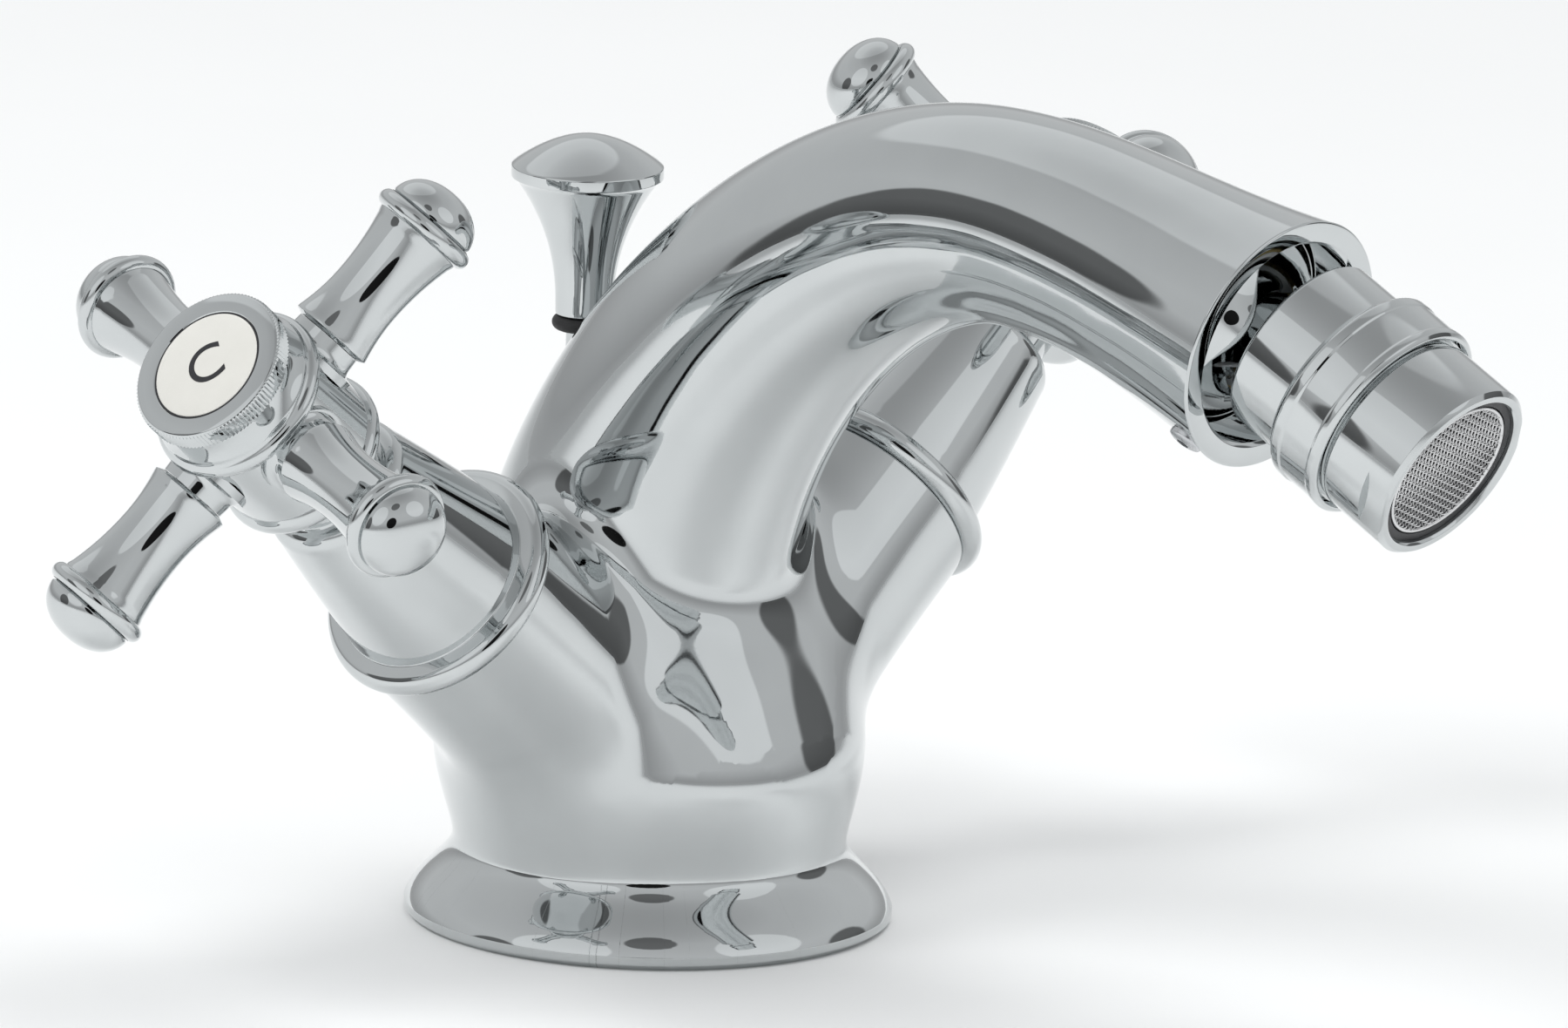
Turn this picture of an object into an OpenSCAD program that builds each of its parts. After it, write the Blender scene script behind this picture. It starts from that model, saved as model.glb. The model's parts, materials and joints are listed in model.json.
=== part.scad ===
/* [Base and waist] */
// Diameter of the base flange
base_d = 56; // [50:1:68]
// Height of the straight band at the flange's rim
rim_h = 1.6; // [1:0.1:2.4]
// Diameter of the body at its waist
waist_d = 44.6; // [41:0.2:48]
// Height of the waist above the deck
waist_z = 12; // [10:0.5:15]
// Width of the base gasket's ring
gasket_w = 4; // [2.5:0.1:5]
// Thickness of the base gasket
gasket_t = 2; // [1.5:0.1:3]

/* [Handle axes] */
// Angle of each handle's axis above the horizontal
axis_tilt = 38.5; // [35:0.5:43]
// Height at which the two handle axes meet
axis_z = 15.5; // [13:0.5:18]
// Distance along an axis from that point to the end of the body's arm
arm_len = 45.2; // [44:0.2:56]
// Wall of the body's arm around the valve's thread
arm_wall = 2.8; // [2.4:0.1:3.6]

/* [Valves] */
// Outer diameter of the valve's thread
valve_thread_d = 20.96; // [17.4:0.01:25.2]
// Diameter of the valve's spindle
spindle_d = 8; // [6.6:0.1:9.6]
// Thickness of each ceramic disc
disc_t = 2.5; // [2:0.1:3]

/* [Bonnets] */
// Length of the bonnet along its axis
bonnet_len = 29.6; // [29:0.2:36]
// Radius of the rolled bead at the bonnet's foot
bead_r = 1.6; // [1.2:0.1:2]

/* [Handles] */
// Diameter of the hub's barrel
hub_d = 19.5; // [17:0.1:23.5]
// Height of the hub
hub_h = 16.4; // [15.4:0.2:19.8]
// Distance from the hub's axis to the middle of an arm's ring
cross_r = 28; // [25:0.5:33.6]
// Diameter of the ring round each arm
arm_ring_d = 12.8; // [11:0.1:15]
// Diameter of an arm at its waist
arm_waist_d = 8.5; // [7:0.1:10.2]
// Height of the domed tip beyond the ring
tip_h = 4.2; // [3:0.1:5]
// Turn of the cold cross about its axis
cold_turn = 71; // [0:1:90]
// Turn of the hot cross about its axis
hot_turn = 55; // [0:1:90]
// Diameter of the cap ring over the hub
cap_d = 19; // [17:0.1:20.5]
// Height of the cap ring above the hub
cap_h = 5.4; // [4.8:0.1:6.5]
// Diameter of the index disc
index_d = 13.3; // [11:0.1:15]

/* [Spout] */
// Distance from the body's centre to the middle of the spout's mouth
reach = 94; // [85:1:113]
// Height of the middle of the mouth above the deck
mouth_z = 83.3; // [80:0.1:88]
// Height of the spout's centre line at its highest
crest_z = 91; // [86:0.5:98]
// Tilt of the mouth's axis below the horizontal
mouth_tilt = 14; // [8:1:20]
// Radius of the spout at its crest
spout_r = 12.2; // [11.5:0.1:14]
// Radius of the spout at its root
root_r = 21; // [18:0.5:22]
// Width of the mouth's flat face ring
face_w = 2.9; // [2.4:0.1:3.5]
// Clearance between the aerator's collar and the wall of the mouth's recess
recess_gap = 1.3; // [1.1:0.1:1.6]
// Depth of the recess in the mouth
recess_depth = 9; // [8:0.5:10.5]

/* [Swivel aerator] */
// Diameter of the swivel ball
ball_d = 17.2; // [14.3:0.1:20.7]
// Distance of the ball's centre ahead of the mouth's face
ball_ahead = 9.6; // [8.8:0.1:12]
// Thickness of each of the two seat rings round the ball
seat_t = 0.65; // [0.5:0.05:0.8]
// Tilt of the aerator below the horizontal at rest
aerator_tilt = 27; // [20:1:33]
// Turn of the aerator to the hot side at rest
aerator_turn = 3.5; // [-8:0.5:8]
// Wall of the rear collar at its thinnest
collar_wall = 0.85; // [0.7:0.05:1.1]
// Step in radius from the rear collar out to the housing
housing_step = 1.6; // [1.3:0.1:2]
// Step in radius from the housing in to the front sleeve
sleeve_step = 1.3; // [1:0.1:1.6]
// Visible length of the housing
housing_len = 7.9; // [7.4:0.1:9.5]
// Visible length of the front sleeve
sleeve_len = 9.6; // [9:0.1:11.6]
// Wall of the plastic insert around the wire mesh
insert_wall = 1.4; // [1.1:0.1:1.7]

/* [Lift rod] */
// Distance of the rod's axis behind the body's centre
rod_back = 12.4; // [12:0.1:13.5]
// Diameter of the rod
rod_d = 4; // [3.4:0.1:4.8]
// Height of the underside of the knob's rim
knob_z = 84.4; // [82:0.2:100]
// Diameter of the knob's rim
knob_d = 17.5; // [14:0.1:21]
// Length of the knob's stem below its rim
stem_len = 16.1; // [13:0.1:19]
// Diameter of the foot of the stem
stem_d = 6.6; // [6:0.1:8]

/* [Fits] */
// Radial clearance where one piece turns or slides in another
run_gap = 0.05; // [0.02:0.01:0.08]
// Radial clearance where one piece is screwed or pushed into another
fit_gap = 0.05; // [0.02:0.01:0.1]

/* [Deck connections] */
// Diameter of each supply inlet's thread
inlet_d = 10; // [8:0.5:12]
// Distance from the middle to each supply inlet
inlet_x = 9.6; // [8:0.2:11]
// Diameter of the fixing stud's thread
stud_d = 8; // [6:0.5:10]
// Distance of the stud in front of the middle
stud_front = 12; // [11:0.5:14]
// Depth of the fixing stud's hole
stud_depth = 16; // [12:1:20]

/* [Hidden] */
$fn = 64;

cold = -1;
hot = 1;
chrome = [0.78, 0.8, 0.82];
brass = [0.72, 0.56, 0.25];
rubber = [0.08, 0.08, 0.08];
ceramic = [0.93, 0.93, 0.9];
cream = [0.9, 0.87, 0.78];
steel = [0.62, 0.63, 0.65];
white_plastic = [0.85, 0.85, 0.85];
dark_plastic = [0.12, 0.12, 0.13];

// Valve and arm: heights are measured from the end face of the body's arm
bore_r = valve_thread_d / 2;
thread_r = bore_r - fit_gap;
arm_end_r = bore_r + arm_wall;
chamber_depth = 21.2;
cage_r = bore_r - 1.7;
disc_r = cage_r - 1.3;
cage_in_r = disc_r + 0.1;
seal_t = disc_t;
fixed_z = -chamber_depth + seal_t;
moving_z = fixed_z + disc_t;
driver_z = moving_z + disc_t;
driver_h = 3.4;
thrust_h = 2;
thrust_z = driver_z + driver_h;
step_z = thrust_z + thrust_h + 0.2;
spindle_r = spindle_d / 2;
valve_flange_r = bore_r + 1.2;
valve_flange_t = 1.9;
hex_flats = 2 * bore_r - 3.4;
hex_top = 8;
barrel_r = max(bore_r - 2.5, spindle_r + 2.5);
barrel_top = 22;
gland_top = 24;
clip_t = 0.9;
clip_z = gland_top + 0.4;
clip_r = spindle_r + 1.2;

// Bonnet
bonnet_foot_r = arm_end_r + 1.2 - bead_r;
skirt_r = arm_end_r - 1.5;
shoulder_z = bonnet_len - 6.2;
shoulder_r = skirt_r - 2.8;
shoulder_round = 2.2;
neck_r = spindle_r + 2.6;
bonnet_wall = 1;
hub_gap = 0.5;

// Handle
hub_z = bonnet_len + hub_gap;
hub_r = hub_d / 2;
hub_top = hub_z + hub_h;
cross_z = hub_top - 6.2;
boss_r = arm_waist_d / 2 - 0.1;
boss_end = hub_r + 1.9;
spigot_r = 2.5;
spigot_in = spindle_r + 2.2;
spindle_top = cross_z + 0.9;
web_z = spindle_top + 0.3;
web_t = 1.3;
head_r = 4.2;
head_h = 2.3;
pocket_z = hub_top - 2.3;
pocket_r = hub_r - 1.8;
cap_r = cap_d / 2;
index_r = index_d / 2;
index_t = 2;
flat_r = 0.8 * spindle_r;
m5_r = 2.5;
ring_r = arm_ring_d / 2;
ring_half = 1.05;
tip_r = ring_r - 0.9;

// Swivel ball, its two seat rings and the radii that follow from them
ball_r = ball_d / 2;
seat_in = ball_r + run_gap;
seat_mid = seat_in + seat_t;
carrier_in = seat_mid + run_gap;
carrier_out = carrier_in + seat_t;
socket_r = carrier_out + run_gap;
collar_r = socket_r + collar_wall;
housing_r = collar_r + housing_step;
sleeve_r = housing_r - sleeve_step;
recess_r = collar_r + recess_gap;
mouth_r = recess_r + face_w;

// Spout: stations are [distance forward, height, slope, radius]
mouth_run = 16;
crest_f = 0.575 * reach;
rise = [[0, 12], [-17, 44], [crest_f - 35, crest_z], [crest_f, crest_z]];
fall = [
    [crest_f, crest_z], [crest_f + 12, crest_z],
    [reach - mouth_run * cos(mouth_tilt), mouth_z + mouth_run * sin(mouth_tilt)],
    [reach, mouth_z]
];
channel_r = 5;
channel_drop = 3;
fitting_bore_r = recess_r - 3;
fitting_depth = recess_depth + 8;
mix_z = 41;

// Swivel aerator: heights are measured from the ball's centre
split_z = 0.7;
seat_end = 0.6 * ball_r;
seat_end_r = sqrt(socket_r * socket_r - (seat_end + 0.1) * (seat_end + 0.1));
collar_rear = -seat_end - 1.8;
housing_front = split_z + housing_len;
sleeve_front = housing_front + sleeve_len;
sleeve_thread_r = sleeve_r - 0.8;
spigot_z = seat_end + 0.9;
insert_r = sleeve_r - 1.4;
insert_back = max(housing_front + 0.6, ball_r + 0.5);
lip_t = 1.2;
lip_r = insert_r - 0.5;
insert_front = sleeve_front - lip_t - 0.05;
mesh_r = insert_r - insert_wall;
neck_ball_r = 4.6;
bore_ball_r = 2.8;

// Lift rod
rod_r = rod_d / 2;
stem_z = knob_z - stem_len;
stem_r = stem_d / 2;
knob_r = knob_d / 2;
knob_rim_h = 1.4;
knob_dome_h = 3.6;
washer_t = 1.7;
washer_r = rod_r + 1.65;
rod_foot = 2;
rod_in_knob = 10;
bush_r = rod_r + 1.2;
bush_top = 54;
bush_len = 9;

// Points of a circular arc in a profile
function arc(c, r, from, to, n = 8) =
    [for (i = [0:n]) let(a = from + (to - from) * i / n) [c[0] + r * cos(a), c[1] + r * sin(a)]];

// Point and slope of a cubic curve through four control points
function mix(a, b, t) = a + (b - a) * t;
function curve(p, t) = pow(1 - t, 3) * p[0] + 3 * pow(1 - t, 2) * t * p[1]
    + 3 * (1 - t) * t * t * p[2] + pow(t, 3) * p[3];
function heading(p, t) = pow(1 - t, 2) * (p[1] - p[0])
    + 2 * (1 - t) * t * (p[2] - p[1]) + t * t * (p[3] - p[2]);
function station(p, t, r) = let(c = curve(p, t), h = heading(p, t))
    [c[0], c[1], atan2(h[1], h[0]), r];

function rise_r(t) = spout_r + (root_r - spout_r) * pow(1 - t, 1.2);
function fall_r(t) = spout_r + (mouth_r - spout_r) * pow(t, 2.8);
spout_stations = concat(
    [for (i = [0:13]) station(rise, i / 14, rise_r(i / 14))],
    [for (i = [0:10]) station(fall, i / 10, fall_r(i / 10))]
);
channel_stations = concat(
    [for (i = [5:13]) station(rise, i / 14, channel_r)],
    [for (i = [0:10]) station(fall, i / 10, channel_r)]
);

// Closed tube through stations in the plane of symmetry
module tube(stations, sides = 36, drop = 0) {
    n = len(stations);
    points = [for (s = stations, k = [0:sides - 1]) let(a = 360 * k / sides, u = s[3] * cos(a) - drop)
        [s[3] * sin(a), -(s[0] - u * sin(s[2])), s[1] + u * cos(s[2])]];
    walls = [for (i = [0:n - 2], k = [0:sides - 1]) let(m = (k + 1) % sides)
        [i * sides + k, i * sides + m, (i + 1) * sides + m, (i + 1) * sides + k]];
    foot = [for (k = [sides - 1:-1:0]) k];
    end = [for (k = [0:sides - 1]) (n - 1) * sides + k];
    polyhedron(points, concat([foot], walls, [end]), convexity = 6);
}

// Frames in which the pieces are drawn
module on_axis(side) {
    translate([0, 0, axis_z]) rotate([0, side * (90 - axis_tilt), 0]) children();
}
module at_arm_end(side) {
    on_axis(side) translate([0, 0, arm_len]) children();
}
module at_mouth() {
    translate([0, -reach, mouth_z]) rotate([90 + mouth_tilt, 0, 0]) children();
}
module at_ball() {
    at_mouth() translate([0, 0, ball_ahead])
        rotate([-90 - mouth_tilt, 0, 0]) rotate([90 + aerator_tilt, 0, aerator_turn]) children();
}
module each_arm(turn) {
    for (k = [0:3]) translate([0, 0, cross_z]) rotate([0, 0, turn + 90 * k]) rotate([0, 90, 0]) children();
}
function turn_of(side) = side == cold ? cold_turn : hot_turn;

module ring(outer, inner, h) {
    difference() {
        cylinder(r = outer, h = h);
        translate([0, 0, -1]) cylinder(r = inner, h = h + 2);
    }
}

// Body: base, arms and spout in one casting
module base_form() {
    base_r = base_d / 2;
    waist_r = waist_d / 2;
    lip_w = 4.6;
    lip_h = 4.4;
    rotate_extrude($fn = 56) polygon(concat(
        [[0, 0], [base_r - 0.8, 0], [base_r, 0.7], [base_r, rim_h]],
        [for (i = [1:5]) let(t = i / 5) [base_r - lip_w * t + 0.7 * sin(180 * t), rim_h + lip_h * t + 0.3 * sin(180 * t)]],
        [for (i = [1:5]) let(t = i / 5) [mix(base_r - lip_w, waist_r, sin(90 * t)), mix(rim_h + lip_h, waist_z, t)]],
        [[waist_r + 0.1, waist_z + 5], [waist_r - 2, waist_z + 13], [waist_r - 9, waist_z + 22], [0, waist_z + 26]]
    ));
}
module arm_form() {
    steps = 8;
    rotate_extrude($fn = 40) polygon(concat(
        [[0, -9], [arm_end_r, -7]],
        [for (i = [0:steps]) let(t = i / steps) [arm_end_r + 4.6 * pow(1 - t, 2.4), arm_len * t]],
        [[0, arm_len]]
    ));
}
module body_form() {
    base_form();
    for (side = [cold, hot]) on_axis(side) arm_form();
    tube(spout_stations);
}
module valve_bore() {
    translate([0, 0, -chamber_depth]) cylinder(r = bore_r, h = chamber_depth + 1);
    translate([0, 0, -chamber_depth - 13]) cylinder(r = 3.8, h = 14);
}
module body() {
    color(chrome) difference() {
        resize([0, 0, 0]) body_form();
        tube(channel_stations, 20, channel_drop);
        for (side = [cold, hot]) {
            at_arm_end(side) valve_bore();
            translate([side * inlet_x, 0, -1]) cylinder(r = inlet_d / 2, h = 13);
            translate([side * inlet_x, 0, 0]) cylinder(r = 3.8, h = 24);
        }
        translate([-17, 3, mix_z]) rotate([0, 90, 0]) cylinder(r = 3.2, h = 34);
        translate([0, -stud_front, -1]) cylinder(r = stud_d / 2, h = stud_depth + 1);
        translate([0, rod_back, -1]) cylinder(r = rod_r + 0.25, h = 110);
        translate([0, rod_back, bush_top - bush_len]) cylinder(r = bush_r + fit_gap, h = 60);
        translate([0, rod_back, stem_z - washer_t - 0.4]) cylinder(r = washer_r + 0.7, h = 60);
        at_mouth() translate([0, 0, -recess_depth]) cylinder(r = recess_r, h = recess_depth + 1);
        at_mouth() translate([0, 0, -fitting_depth]) cylinder(r = fitting_bore_r, h = fitting_depth);
        at_mouth() lock_hole();
        translate([0, 0, -1]) difference() {
            cylinder(r = gasket_out_r, h = 1 + gasket_t);
            cylinder(r = gasket_out_r - gasket_w, h = 2 + gasket_t);
        }
    }
}
gasket_out_r = base_d / 2 - 2.4;
module base_gasket() {
    color(rubber) ring(gasket_out_r - fit_gap, gasket_out_r - gasket_w + fit_gap, gasket_t);
}

// Small screw under the mouth that locks the fitting's thread
lock_back = 2.6;
lock_r = 1.5;
lock_head_r = 2.1;
lock_turn = -40;
module at_lock() {
    rotate([0, 0, lock_turn]) translate([0, 0, -lock_back]) rotate([90, 0, 0]) children();
}
module lock_hole() {
    at_lock() cylinder(r = lock_r + fit_gap, h = 30, $fn = 32);
    at_lock() translate([0, 0, mouth_r - 0.6]) cylinder(r = lock_head_r + fit_gap, h = 15, $fn = 32);
}
module lock_screw() {
    color(steel) at_mouth() at_lock() {
        translate([0, 0, recess_r - 0.1]) cylinder(r = lock_r, h = mouth_r - recess_r, $fn = 32);
        translate([0, 0, mouth_r - 0.6]) cylinder(r = lock_head_r, h = 1.6, $fn = 32);
    }
}

// Valve: brass body, ceramic discs, spindle and seals
module valve_body(side) {
    color(brass) at_arm_end(side) difference() {
        union() {
            rotate_extrude() polygon([
                [0, fixed_z - 0.5], [cage_r, fixed_z - 0.5], [cage_r, thrust_z + 0.4],
                [thread_r, thrust_z + 1], [thread_r, -3], [bore_r - 1.1, -3],
                [bore_r - 1.1, -1.6], [thread_r, -1.6], [thread_r, 0],
                [valve_flange_r, 0], [valve_flange_r, valve_flange_t], [barrel_r, valve_flange_t],
                [barrel_r, barrel_top], [barrel_r - 1, gland_top], [0, gland_top]
            ]);
            translate([0, 0, valve_flange_t]) cylinder(d = hex_flats / cos(30), h = hex_top - valve_flange_t, $fn = 6);
        }
        translate([0, 0, -chamber_depth - 1]) cylinder(r = cage_in_r, h = chamber_depth + 1 + step_z);
        translate([0, 0, step_z - 1]) cylinder(r = spindle_r + run_gap, h = gland_top - step_z + 2);
        for (a = [0, 90]) rotate([0, 0, a]) translate([-bore_r, -2.5, driver_z + 0.3])
            cube([2 * bore_r, 5, driver_h - 0.6]);
    }
}
module valve_o_ring(side) {
    color(rubber) at_arm_end(side) translate([0, 0, -2.3])
        rotate_extrude() translate([bore_r - 0.56, 0]) circle(r = 0.5, $fn = 24);
}
module disc_ports() {
    for (a = [0, 180]) rotate([0, 0, a]) translate([disc_r * 0.22, -disc_r * 0.36, -1])
        cube([disc_r * 0.5, disc_r * 0.72, disc_t + 2]);
}
module fixed_disc(side) {
    color(ceramic) at_arm_end(side) translate([0, 0, fixed_z]) difference() {
        cylinder(r = disc_r, h = disc_t);
        disc_ports();
    }
}
module moving_disc(side) {
    color(ceramic) at_arm_end(side) translate([0, 0, moving_z]) rotate([0, 0, 90]) difference() {
        cylinder(r = disc_r, h = disc_t);
        disc_ports();
    }
}
module seat_seal(side) {
    color(rubber) at_arm_end(side) translate([0, 0, -chamber_depth]) ring(disc_r, disc_r - 2.2, seal_t);
}
module spindle(side) {
    color(brass) at_arm_end(side) difference() {
        union() {
            translate([0, 0, driver_z]) cylinder(r = disc_r - 2.2, h = driver_h);
            translate([0, 0, thrust_z]) cylinder(r = disc_r - 0.2, h = thrust_h);
            translate([0, 0, thrust_z]) cylinder(r = spindle_r, h = hub_z - thrust_z);
            intersection() {
                translate([0, 0, hub_z - 1]) cylinder(r = spindle_r, h = spindle_top - hub_z + 1);
                translate([-flat_r, -spindle_r, hub_z - 1]) cube([2 * flat_r, spindle_d, 40]);
            }
        }
        for (z = [o_ring_z, o_ring_z + 4]) translate([0, 0, z - 0.7]) ring(spindle_r + 1, spindle_r - 1, 1.4);
        translate([0, 0, clip_z]) ring(spindle_r + 1, spindle_r - 0.7, clip_t + 0.1);
        translate([0, 0, spindle_top - 12]) cylinder(r = m5_r, h = 13);
    }
}
o_ring_z = 5;
module spindle_o_rings(side) {
    color(rubber) at_arm_end(side) for (z = [o_ring_z, o_ring_z + 4]) translate([0, 0, z])
        rotate_extrude() translate([spindle_r - 0.48, 0]) circle(r = 0.5, $fn = 24);
}
module spindle_clip(side) {
    color(steel) at_arm_end(side) translate([0, 0, clip_z + 0.05]) difference() {
        ring(clip_r, spindle_r - 0.65, clip_t);
        translate([0, -1.2, -1]) cube([clip_r + 1, 2.4, clip_t + 2]);
    }
}

// Bell-shaped cover over the valve, screwed on its barrel
module bonnet(side) {
    color(chrome) at_arm_end(side) difference() {
        rotate_extrude($fn = 96) polygon(concat(
            [[0, 0], [bonnet_foot_r, 0]],
            arc([bonnet_foot_r, bead_r], bead_r, -70, 80, 10),
            [[skirt_r, 2 * bead_r + 0.3]],
            [for (i = [1:6]) let(t = i / 6) [mix(skirt_r, shoulder_r, pow(t, 1.15)),
                mix(2 * bead_r + 0.3, shoulder_z, t)]],
            arc([shoulder_r - shoulder_round, shoulder_z], shoulder_round, 12, 90, 6),
            [[neck_r, shoulder_z + shoulder_round + 0.3], [neck_r, bonnet_len], [0, bonnet_len]]
        ));
        rotate_extrude() polygon([
            [0, -1], [valve_flange_r + 0.1, -1], [valve_flange_r + 0.1, valve_flange_t + 0.3],
            [skirt_r - bonnet_wall, valve_flange_t + 0.5], [skirt_r - bonnet_wall, 2 * bead_r + 0.3],
            [hex_flats / 2 / cos(30) + 0.2, hex_top + 0.4], [barrel_r + fit_gap, hex_top + 4],
            [barrel_r + fit_gap, barrel_top + 0.2], [barrel_r - 0.9, gland_top + 0.2],
            [clip_r + 0.3, gland_top + 0.2], [clip_r + 0.3, clip_z + clip_t + 0.6],
            [spindle_r + 0.6, clip_z + clip_t + 1.4],
            [spindle_r + 0.6, bonnet_len + 1], [0, bonnet_len + 1]
        ]);
    }
}

// Cross handle
module handle_hub(side) {
    color(chrome) at_arm_end(side) difference() {
        union() {
            rotate_extrude($fn = 96) polygon(concat(
                [[0, hub_z], [hub_r - 1.3, hub_z]],
                arc([hub_r - 0.9, hub_z + 1.4], 1.35, -75, 75, 8),
                [[hub_r, hub_z + 3], [hub_r, hub_top - 2.8], [hub_r + 0.9, hub_top - 2.4]],
                arc([hub_r + 0.1, hub_top - 1], 1, -10, 90, 6),
                [[0, hub_top]]
            ));
            each_arm(turn_of(side)) cylinder(r = boss_r, h = boss_end);
        }
        translate([0, 0, pocket_z]) cylinder(r = pocket_r, h = 10);
        translate([0, 0, web_z + web_t]) cylinder(r = head_r + 0.2, h = 10);
        translate([0, 0, web_z - 1]) cylinder(r = m5_r + 0.2, h = 5);
        intersection() {
            translate([0, 0, hub_z - 1]) cylinder(r = spindle_r + fit_gap, h = web_z - hub_z + 1);
            translate([-flat_r - fit_gap, -spindle_d, hub_z - 1])
                cube([2 * (flat_r + fit_gap), 2 * spindle_d, web_z - hub_z + 1]);
        }
        each_arm(turn_of(side)) translate([0, 0, spigot_in - 0.2])
            cylinder(r = spigot_r + fit_gap, h = boss_end);
    }
}
arm_waist_at = boss_end + 6.6;
arm_flare_at = cross_r - ring_half - 0.3;
function arm_r(d) = arm_waist_d / 2 + (d < arm_waist_at
    ? 0.8 * pow((arm_waist_at - d) / (arm_waist_at - boss_end - 0.5), 2)
    : 1.05 * pow((d - arm_waist_at) / (arm_flare_at - arm_waist_at), 2));
module handle_arms(side) {
    steps = 10;
    color(chrome) at_arm_end(side) each_arm(turn_of(side)) difference() {
        rotate_extrude($fn = 48) polygon(concat(
            [[0, spigot_in], [spigot_r, spigot_in], [spigot_r, boss_end], [boss_r, boss_end]],
            [for (i = [0:steps]) let(d = mix(boss_end + 0.5, arm_flare_at, i / steps)) [arm_r(d), d]],
            arc([ring_r - ring_half, cross_r], ring_half, -80, 80, 8),
            [[0, cross_r + ring_half]]
        ));
        translate([0, 0, cross_r - 4]) cylinder(r = 2 + fit_gap, h = 10, $fn = 32);
    }
}
module handle_tips(side) {
    steps = 8;
    foot = cross_r + ring_half;
    color(chrome) at_arm_end(side) each_arm(turn_of(side)) {
        rotate_extrude($fn = 48) polygon(concat(
            [[0, foot - 4], [2, foot - 4], [2, foot]],
            [for (i = [0:steps]) let(a = 90 * i / steps) [tip_r * cos(a), foot + tip_h * sin(a)]]
        ));
    }
}
knurls = 72;
module cap_ring(side) {
    knurl_foot = hub_top + cap_h - 2.3;
    knurl_top = hub_top + cap_h - 0.3;
    color(chrome) at_arm_end(side) difference() {
        union() {
            translate([0, 0, pocket_z + 0.1]) cylinder(r = pocket_r - fit_gap, h = hub_top - pocket_z);
            translate([0, 0, hub_top]) cylinder(r = cap_r - 0.4, h = knurl_foot - hub_top);
            translate([0, 0, knurl_foot]) linear_extrude(knurl_top - knurl_foot) polygon([
                for (k = [0:2 * knurls - 1]) let(a = 180 * k / knurls, r = cap_r - (k % 2) * 0.25)
                    [r * cos(a), r * sin(a)]]);
            translate([0, 0, knurl_top]) cylinder(r1 = cap_r - 0.3, r2 = cap_r - 0.6, h = 0.3);
        }
        translate([0, 0, pocket_z - 1]) cylinder(r = head_r + 0.8, h = web_z + web_t + head_h + 0.4 - pocket_z + 1);
        translate([0, 0, hub_top + cap_h - index_t]) cylinder(r = index_r + fit_gap, h = 5);
    }
}
module index_disc(side) {
    color(cream) at_arm_end(side) translate([0, 0, hub_top + cap_h - index_t]) {
        cylinder(r = index_r, h = index_t);
        translate([0, 0, index_t]) cylinder(r1 = index_r - 0.2, r2 = index_r - 1.4, h = 0.2);
    }
}
module handle_screw(side) {
    color(steel) at_arm_end(side) difference() {
        union() {
            translate([0, 0, web_z + web_t]) cylinder(r = head_r, h = head_h);
            translate([0, 0, spindle_top - 11]) cylinder(r = m5_r - fit_gap, h = web_z + web_t - spindle_top + 11.2);
        }
        translate([0, 0, web_z + web_t + head_h - 1.4]) cylinder(r = 1.8, h = 3, $fn = 6);
    }
}

// Swivel aerator
module ball_fitting() {
    neck_top = ball_ahead - sqrt(ball_r * ball_r - neck_ball_r * neck_ball_r);
    rim_r = recess_r - 0.5;
    flange_top = -recess_depth + 3;
    color(chrome) at_mouth() difference() {
        union() {
            rotate_extrude($fn = 96) polygon(concat(
                [[0, -fitting_depth + 1], [fitting_bore_r - fit_gap, -fitting_depth + 1],
                 [fitting_bore_r - fit_gap, -recess_depth + 1], [rim_r, -recess_depth + 1],
                 [rim_r, flange_top], [rim_r - 0.5, flange_top]],
                [for (i = [9:-1:0]) let(a = 10 * i) [rim_r - 0.5 - (rim_r - 0.5 - neck_ball_r) * cos(a),
                    neck_top - (neck_top - flange_top) * sin(a)]],
                [[neck_ball_r, neck_top + 2], [0, neck_top + 2]]
            ));
            translate([0, 0, ball_ahead]) sphere(r = ball_r);
        }
        translate([0, 0, -fitting_depth]) cylinder(r = bore_ball_r, h = 60);
        translate([0, 0, ball_ahead + ball_r - 1.4]) cylinder(r = ball_r, h = 10);
    }
}
module fitting_gasket() {
    color(rubber) at_mouth() translate([0, 0, -recess_depth]) ring(recess_r - 0.6, fitting_bore_r + 0.3, 1);
}
module seat_ring(inner, outer) {
    difference() {
        intersection() {
            sphere(r = outer);
            translate([0, 0, -seat_end]) cylinder(r = outer + 1, h = 2 * seat_end);
        }
        sphere(r = inner);
    }
}
module ball_seat() {
    color(white_plastic) at_ball() seat_ring(seat_in, seat_mid);
}
module seat_carrier() {
    color(brass) at_ball() seat_ring(carrier_in, carrier_out);
}
module swivel_collar() {
    color(chrome) at_ball() difference() {
        rotate_extrude($fn = 96) polygon([
            [0, collar_rear], [collar_r - 0.5, collar_rear], [collar_r, collar_rear + 0.5],
            [collar_r, split_z], [0, split_z]
        ]);
        sphere(r = socket_r);
        translate([0, 0, collar_rear - 1]) cylinder(r = seat_end_r, h = -seat_end - 0.1 - collar_rear + 1);
    }
}
module aerator_housing() {
    color(chrome) at_ball() difference() {
        rotate_extrude($fn = 96) polygon([
            [0, split_z], [housing_r - 1.1, split_z], [housing_r - 0.1, split_z + 0.9], [housing_r, split_z + 1.6],
            [housing_r, housing_front - 0.8], [housing_r - 0.5, housing_front], [0, housing_front]
        ]);
        sphere(r = socket_r);
        translate([0, 0, seat_end]) cylinder(r = seat_end_r, h = 20);
        translate([0, 0, spigot_z - 0.1]) cylinder(r = sleeve_thread_r + fit_gap, h = 20);
    }
}
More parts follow.
